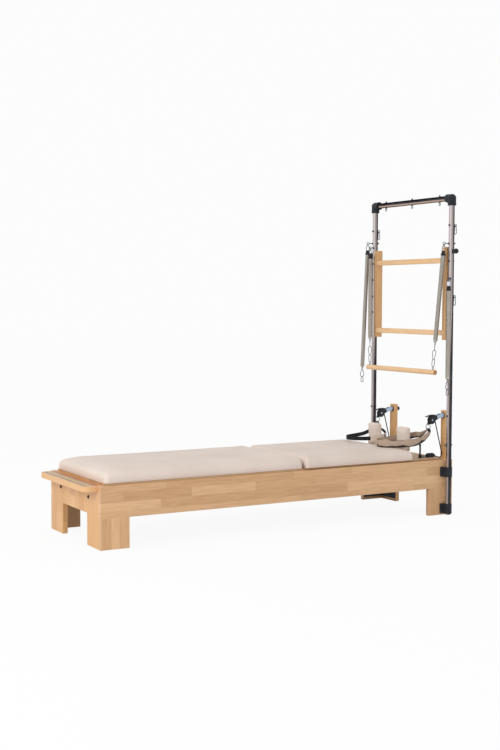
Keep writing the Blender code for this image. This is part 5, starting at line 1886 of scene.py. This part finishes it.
@dataclass
class Tower:
    """The posts and crossbar with their elbows, clamps, bolts and hooks."""

    wall: float = 0.0025
    low: float = 0.008
    crossbar_z: float = 2.016
    elbow: float = 0.0265
    elbow_reach: float = 0.046
    clamp_z: tuple[float, float] = (0.043, 0.278)
    clamp_height: float = 0.062
    clamp_half: float = 0.042
    snap_z: float = 1.846
    low_eye_z: float = 0.452
    spare_z: float = 1.397
    plain_z: dict[Side, tuple[float, ...]] = field(default_factory=lambda: {
        Side.NEAR: (1.621, 1.290, 0.637), Side.FAR: (1.621, 1.510, 1.397, 1.290, 0.637)})
    hook_y: tuple[float, ...] = (-0.288, 0.0, 0.288)

    def build_posts(self) -> None:
        """Makes each post as a tube with a plug below, and its fixed bolts."""
        low, top, bore = self.low, self.crossbar_z - 0.012, TUBE - self.wall
        for side in Side:
            name = "tower_post_" + side.label
            shape, bolts, plug = Shape(), Shape(), Shape()
            shape.turn(post_at(side), UP, [(low, TUBE - 0.001), (low + 0.001, TUBE), (top, TUBE), (top, bore),
                                           (low, bore)], 64, True)
            shape.piece(name + "_tube", CHROME, "frame", name)
            for z in (self.snap_z, self.spare_z) if side is Side.NEAR else (self.snap_z,):
                bolt = EyeBolt(post_at(side, z), ALONG, 0.030)
                bolt.build(bolts)
                snap_hook(bolts, bolt.centre + ALONG * bolt.reach + DOWN * (bolt.eye - bolt.wire - 0.003), ACROSS)
            EyeBolt(post_at(side, self.low_eye_z), -ALONG, 0.030).build(bolts)
            for z in self.plain_z[side]:
                plain_bolt(bolts, post_at(side, z), ALONG)
            bolts.piece(name + "_bolts", FASTENER, "frame")
            plug.turn(post_at(side), UP, [
                (low - 0.003, 0.0), (low - 0.003, TUBE - 0.002), (low - 0.001, TUBE + 0.0005), (low, TUBE + 0.0005),
                (low, bore - 0.0003), (low + 0.02, bore - 0.0003), (low + 0.02, 0.0)], 40)
            plug.piece(name + "_plug", RUBBER, "frame")

    def build_crossbar(self) -> None:
        """Makes the crossbar and its three eye hooks."""
        shape, hooks = Shape(), Shape()
        reach, bore = POST_Y - 0.0183, TUBE - self.wall
        shape.turn((x_at(POST_X), -reach, self.crossbar_z), ACROSS, [(0.0, TUBE), (2 * reach, TUBE),
                                                                    (2 * reach, bore), (0.0, bore)], 64, True)
        shape.piece("tower_crossbar_tube", CHROME_ACROSS, "frame", "tower_crossbar")
        for y in self.hook_y:
            EyeBolt(Vector((x_at(POST_X), y, self.crossbar_z)), DOWN, 0.0317).build(hooks)
        hooks.piece("tower_crossbar_eyes", FASTENER, "frame")

    def build_elbows(self) -> None:
        """Makes the cast corners with a lip and a set screw at each mouth."""
        reach, radius = self.elbow_reach, self.elbow
        ball = [(-radius * math.cos(turn), radius * math.sin(turn)) for turn in turns(0, math.pi, 14)]
        mouth = [(0.0, radius - 0.0004), (reach - 0.016, radius - 0.0004), (reach - 0.015, radius + 0.0006),
                 (reach - 0.001, radius + 0.0006), (reach, radius - 0.0006), (reach, TUBE + 0.0003),
                 (0.018, TUBE + 0.0003), (0.018, 0.0)]
        for side in Side:
            name = "elbow_" + side.label
            corner = post_at(side, self.crossbar_z)
            shape = Shape()
            shape.turn(corner, UP, ball, 40)
            screws = Copies(cap_screw(0.0038, 0.0020), FASTENER)
            for way in (DOWN, -side.out):
                shape.turn(corner, way, mouth, 48)
                for face in (-ALONG, ALONG):
                    screws.at(corner + way * (reach - 0.0125) + face * (radius + 0.0002), face, 0.4)
            shape.piece(name + "_casting", BLACK_STEEL, "frame", name)
            screws.piece(name + "_screws", "frame")

    def build_clamps(self) -> None:
        """Makes the saddle clamps with their screws."""
        plank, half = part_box("side_plank_far")[1].y, self.clamp_height / 2
        for side in Side:
            outline = [(x_at(POST_X) + x, side.value * y) for x, y in self.saddle(plank + 0.0003)]
            for z, label in zip(self.clamp_z, ("low", "high")):
                name = f"post_clamp_{side.label}_{label}"
                shape = Shape()
                shape.prism(outline, z - half, z + half, Axis.Z, 0.0016)
                shape.piece(name + "_saddle", BLACK_STEEL, "frame", name)
                screws = Copies(hex_bolt(0.0052, 0.0042), FASTENER)
                for x in (-0.0345, 0.0345):
                    for lift in (-0.018, 0.018):
                        screws.at((x_at(POST_X) + x, side.value * (plank + 0.0063), z + lift), side.out,
                                  0.3 + 30 * lift)
                screws.piece(name + "_screws", "frame")

    def saddle(self, face: float) -> list[tuple[float, float]]:
        """Outline of a clamp from above: two flanges and a wall round the post, open on the plank at face.

        Args:
            face: Y of the plank's outer face.

        Returns:
            Its points, as X from the post's middle and Y.
        """
        flange, wall, inner, fillet = face + 0.006, TUBE + 0.0063, TUBE + 0.0003, 0.0035
        flank = [(self.clamp_half, face), (self.clamp_half, flange), (wall + fillet, flange),
                 (wall + fillet * 0.3, flange + fillet * 0.3), (wall, flange + fillet)]
        outer, bore = ([(radius * math.cos(turn), POST_Y + radius * math.sin(turn))
                        for turn in turns(0, math.pi, 24)] for radius in (wall, inner))
        return [*[(-x, y) for x, y in flank], *reversed(outer), *reversed(flank), (inner, face), *bore,
                (-inner, face)]

    def build(self) -> None:
        """Builds everything of the tower that stands still."""
        self.build_posts()
        for side in Side:
            for hangers in (ARM_HANGERS, LEG_HANGERS):
                hangers[side].build()
        self.build_crossbar()
        self.build_elbows()
        self.build_clamps()


@dataclass
class Ladder:
    """The wooden ladder and the two knobs it hangs on."""

    ball: float = 0.017

    def build(self) -> None:
        """Finishes the stiles and rungs, and makes the knobs."""
        STILE_WOOD.put_on("ladder_stile_near", "ladder_stile_far")
        TURNED_WOOD.put_on("ladder_upper_rung", "ladder_lower_rung")
        for side in Side:
            name = "ladder_knob_" + side.label
            reach = sorted(abs(corner.y) - POST_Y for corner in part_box(name))
            post = post_at(side, pivot(side.label + "_ladder_knob_turn").z)
            post.x = pivot(side.label + "_ladder_knob_turn").x
            centre = reach[1] - self.ball
            profile = [(reach[1], 0.0)]
            profile += [(centre + self.ball * math.cos(turn), self.ball * math.sin(turn))
                        for turn in turns(0, math.radians(144), 12)[1:]]
            profile += [(TUBE + 0.004, 0.0095), (TUBE + 0.001, 0.0105), (TUBE + 0.0003, 0.0105), (TUBE + 0.0003, 0.0)]
            knob, bolt = Shape(), Shape()
            knob.turn(post, side.out, profile, 44)
            knob.piece(name + "_ball", PLASTIC, home(name), name)
            bolt.rod(post + side.out * reach[0], post + side.out * (TUBE + 0.002), 0.0040)
            bolt.turn(post, -side.out, [(TUBE + 0.0003, 0.0), (TUBE + 0.0003, 0.0082), (TUBE + 0.0006, 0.0088),
                                        (0.0218, 0.0088), (0.0221, 0.0082), (0.0221, 0.0)], 32)
            bolt.piece(name + "_bolt", FASTENER, home(name))


# Springs and the roll-down bar


@dataclass
class TowerSpring:
    """A hanging spring: ring, cap, coil, cap and ring."""

    name: str
    hanger: Hanger
    along: Vector
    length: float
    body: str
    sleeved: bool = False
    outer: float = 0.0140
    wire: float = 0.0019
    upper: float = 0.056
    cap: float = 0.014
    ring: float = 0.0075
    ring_wire: float = 0.0018
    sink: float = 0.0008

    def build(self) -> Vector:
        """Makes the spring.

        Returns:
            The lowest point of its lower ring's middle line.
        """
        top, along, ring = self.hanger.hang, self.along, self.ring
        start = top + along * (2 * ring - self.sink + self.upper)
        stop = start + along * self.length
        wind(self.name, start, stop, (self.outer, self.wire, 0.0037), self.body)
        ends, caps, wires = Shape(), Shape(), Shape()
        ends.turn(stop, along, [(-0.004, 0.0100), (-0.001, 0.0132), (0.003, 0.0128), (0.0085, 0.0098),
                                (self.cap - 0.001, 0.0052), (self.cap, 0.0)])
        ends.piece(self.name + "_taper", SPRING_STEEL, self.body)
        caps.turn(start, -along, [(-0.003, 0.0100), (-0.003, 0.0146), (-0.0022, 0.0152), (0.009, 0.0152),
                                  (0.013, 0.0110), (0.017, 0.0104), (0.020, 0.0130), (0.025, 0.0118),
                                  (0.027, 0.0060), (0.027, 0.0)])
        caps.piece(self.name + "_cap", PLASTIC, self.body)
        if self.sleeved:
            sleeve = Shape()
            sleeve.turn(start - along * 0.0268, -along, [(0.0, 0.0), (0.0, 0.0104), (0.002, 0.0116),
                                                         (0.025, 0.0116), (0.028, 0.0092), (0.028, 0.0)])
            sleeve.piece(self.name + "_sleeve", PALE_PLASTIC, self.body)
        low = stop + along * (self.cap + ring - self.sink)
        across = self.hanger.way.cross(along).normalized()
        wires.ring(top + along * ring, along, across, ring, self.ring_wire)
        reach = ((start - top).length - 0.024 - 2 * ring + 0.005) / 2
        wires.oval(top + along * (2 * ring - 0.0034 + reach), along, along.cross(across), reach, 0.0095, 0.0021)
        wires.ring(low, along, ALONG.cross(along).normalized(), ring, self.ring_wire)
        wires.piece(self.name + "_rings", FASTENER, self.body)
        return low + along * ring


@dataclass
class Springs:
    """Both arm springs with the roll-down bar, and both leg springs."""

    bar_z: float = 0.915
    bar_radius: float = 0.0165
    bar_half: float = 0.370
    eye_y: float = 0.345
    eye: float = 0.0075
    bar_forward: float = 0.035
    arm_length: float = 0.541
    leg_length: dict[Side, float] = field(default_factory=lambda: {Side.NEAR: 0.551, Side.FAR: 0.770})
    leg_lean: dict[Side, float] = field(default_factory=lambda: {Side.NEAR: 0.0, Side.FAR: 0.045})
    chain: tuple[tuple[float, float, float, float], ...] = (
        (0.035, 0.0040, 0.0040, 1.0), (0.057, 0.0125, 0.0070, -0.15), (0.046, 0.0100, 0.0090, -1.3))
    tail: tuple[tuple[float, float, float, float], ...] = (
        (0.046, 0.0065, 0.0130, -0.3), (0.038, 0.0080, 0.0095, -1.3))

    def build_arm(self, side: Side) -> None:
        """Makes an arm spring with its long links and the screw eye in the bar.

        Args:
            side: Side of the bed.
        """
        hanger, surface = ARM_HANGERS[side], self.bar_z + self.bar_radius
        total = sum(length for length, *_ in self.chain)
        eye = Vector((hanger.hang.x - self.bar_forward, side.value * self.eye_y, surface + 0.004 + self.eye))
        name, along = "arm_spring_" + side.label, (eye - hanger.hang).normalized()
        low = TowerSpring(name, hanger, along, self.arm_length, "roll_down").build()
        span = eye + UP * self.eye - low
        along = span.normalized()
        links = Shape()
        for length, upper, lower, turned in self.chain:
            facing = heading(turned)
            across = (facing - along * facing.dot(along)).normalized()
            low = link(links, low, along, across, (span.length * length / total, upper, lower, 0.0020))
        links.ring(eye, UP, ACROSS, self.eye, 0.0018)
        foot = Vector((eye.x, eye.y, surface))
        links.rod(foot - UP * 0.010, eye - UP * 0.0068, 0.0024, 14)
        links.turn(foot, UP, [(-0.002, 0.0060), (0.0012, 0.0056), (0.0016, 0.0030)], 24)
        links.piece(name + "_links", FASTENER, "roll_down")

    def build_leg(self, side: Side) -> None:
        """Makes a leg spring that hangs free, with a snap hook below.

        Args:
            side: Side of the bed.
        """
        name, hanger = "leg_spring_" + side.label, LEG_HANGERS[side]
        way = Vector((-self.leg_lean[side], 0.0, -1.0)).normalized()
        low = TowerSpring(name, hanger, way, self.leg_length[side], home(name), side is Side.NEAR).build()
        hook = Shape()
        for length, upper, lower, turned in self.tail:
            low = link(hook, low, DOWN, heading(turned), (length, upper, lower, 0.0022))
        hook.piece(name + "_hook", FASTENER, home(name))

    def build_bar(self) -> None:
        """Makes the wooden bar with rounded ends and a line turned near each."""
        x = ARM_HANGERS[Side.NEAR].hang.x - self.bar_forward
        shape = Shape()
        half, r = self.bar_half, self.bar_radius
        shape.turn((x, 0.0, self.bar_z), ACROSS, mirrored([
            (0.0, r), (half - 0.0192, r), (half - 0.0186, r - 0.0006), (half - 0.018, r), (half - 0.0030, r),
            (half - 0.0008, r - 0.0018), (half, r - 0.0040)]), 48)
        for face in shape.mesh.faces:
            face.material_index = int(abs(face.calc_center_median().y) > half - 0.0005)
        shape.piece("roll_down_bar_dowel", TURNED_WOOD, "roll_down", "roll_down_bar", also=[CUT_WOOD])

    def build(self) -> None:
        """Builds the springs and the bar."""
        for side in Side:
            self.build_arm(side)
            self.build_leg(side)
        self.build_bar()


# Stage


@dataclass
class Stage:
    """Pale floor, white surround, soft studio light and the photo's view."""

    floor_colour: Colour = rgb(238, 237, 240)
    white: Colour = (1.0, 1.0, 1.0)
    veil: float = 0.93
    surround: float = 0.977
    sky: float = 0.70
    far: float = 30.0
    position: tuple[float, float, float] = (-3.77625, -6.5004, 1.3716)
    yaw: float = 0.520
    pitch: float = -0.0615
    roll: float = 0.0033
    lens: float = 58.559

    def show_white(self, graph: Graph, lit: Socket, white: Socket, share: float, end: str) -> None:
        """Lets the camera, mirrors and glass see plain white instead of what the light falls on.

        Args:
            graph: Tree of the material or world.
            lit: Shader that the light falls on.
            white: Shader that is seen.
            share: How much of it is seen.
            end: Name of the tree's output node.
        """
        path = graph.node("ShaderNodeLightPath").outputs
        seen = graph.math("MAXIMUM", path["Is Camera Ray"], path["Is Glossy Ray"])
        seen = graph.math("MULTIPLY", graph.math("MAXIMUM", seen, path["Is Transmission Ray"]), share)
        blend = graph.out("ShaderNodeMixShader", {0: seen, 1: lit, 2: white})
        graph.feed(graph.tree.nodes[end].inputs["Surface"], blend)

    def build_floor(self) -> None:
        """A wide plain floor that shows white to the camera and keeps the object's shadow."""
        material = bpy.data.materials.new("plain_floor")
        material.use_nodes = True
        graph = Graph(material.node_tree)
        shader = graph.tree.nodes["Principled BSDF"]
        graph.feed(shader.inputs["Base Color"], self.floor_colour)
        graph.feed(shader.inputs["Roughness"], 0.9)
        glow = graph.out("ShaderNodeEmission", {"Color": self.white, "Strength": 1.0})
        self.show_white(graph, shader.outputs[0], glow, self.veil, "Material Output")
        data = bpy.data.meshes.new("floor")
        corners = ((-1, -1), (1, -1), (1, 1), (-1, 1))
        data.from_pydata([(x * self.far, y * self.far, 0) for x, y in corners], [], [(0, 1, 2, 3)])
        data.materials.append(material)
        add_object("floor", data)

    def build_world(self) -> None:
        """An even dome of light that the camera sees as white."""
        world = bpy.data.worlds.new("studio")
        bpy.context.scene.world = world
        world.use_nodes = True
        graph = Graph(world.node_tree)
        dome = graph.tree.nodes["Background"]
        graph.feed(dome.inputs["Color"], self.white)
        graph.feed(dome.inputs["Strength"], self.sky)
        white = graph.out("ShaderNodeBackground", {0: self.white, 1: self.surround})
        self.show_white(graph, dome.outputs[0], white, 1.0, "World Output")

    def build_lamp(self, name: str, place: Vector, power: float, size: float) -> None:
        """A square soft lamp aimed at the middle of the object.

        Args:
            name: Name of the lamp.
            place: Where it stands.
            power: Its power in watts.
            size: Side of its square.
        """
        data = bpy.data.lights.new(name, "AREA")
        data.energy, data.size = power, size
        lamp = add_object(name, data)
        lamp.visible_glossy = False
        aim = Vector((0.0, 0.0, 0.6)) - place
        lamp.matrix_world = Matrix.Translation(place) @ DOWN.rotation_difference(aim).to_matrix().to_4x4()

    def build_camera(self) -> None:
        """The camera at the photo's view."""
        level = math.cos(self.pitch)
        ahead = Vector((math.sin(self.yaw) * level, math.cos(self.yaw) * level, math.sin(self.pitch)))
        right = Vector((math.cos(self.yaw), -math.sin(self.yaw), 0.0))
        over = right.cross(ahead)
        side = right * math.cos(self.roll) + over * math.sin(self.roll)
        top = over * math.cos(self.roll) - right * math.sin(self.roll)
        data = bpy.data.cameras.new("camera")
        data.lens = self.lens
        camera = add_object("camera", data)
        turn = Matrix((side, top, -ahead)).transposed().to_4x4()
        camera.matrix_world = Matrix.Translation(Vector(self.position)) @ turn
        bpy.context.scene.camera = camera

    def build(self) -> None:
        """Sets the stage."""
        bpy.context.scene.view_settings.view_transform = "Standard"
        self.build_floor()
        self.build_world()
        self.build_lamp("key_lamp", Vector((-6.0, -2.4, 3.4)), 175.0, 3.2)
        self.build_lamp("fill_lamp", Vector((0.5, -6.5, 3.0)), 18.0, 4.0)
        self.build_camera()


def main() -> None:
    """Dresses the frame sub-assembly by sub-assembly."""
    logging.basicConfig(level=logging.INFO, format="%(message)s")
    for name in ("Cube", "Light", "Camera"):
        if name in bpy.data.objects and name not in frame["nodes"]:
            bpy.data.objects.remove(bpy.data.objects[name])
    parts = [Bed(), Wheelset("front_wheelset"), Wheelset("rear_wheelset")]
    parts += [CarriageSpring(f"reformer_spring_{i}") for i in range(1, 5)]
    parts.append(Upholstery())
    parts += [kind(side) for side in Side
              for kind in (RopeLock, RestBracket, PulleyArm, PulleyWheel, Rope, FootLoop)]
    parts += [Tower(), Ladder(), Springs(), Stage()]
    for part in parts:
        before = set(bpy.data.objects)
        part.build()
        made = sorted(new.name for new in set(bpy.data.objects) - before)
        LOG.info("%s: %s", type(part).__name__, ", ".join(made))


if __name__ == "__main__":
    main()
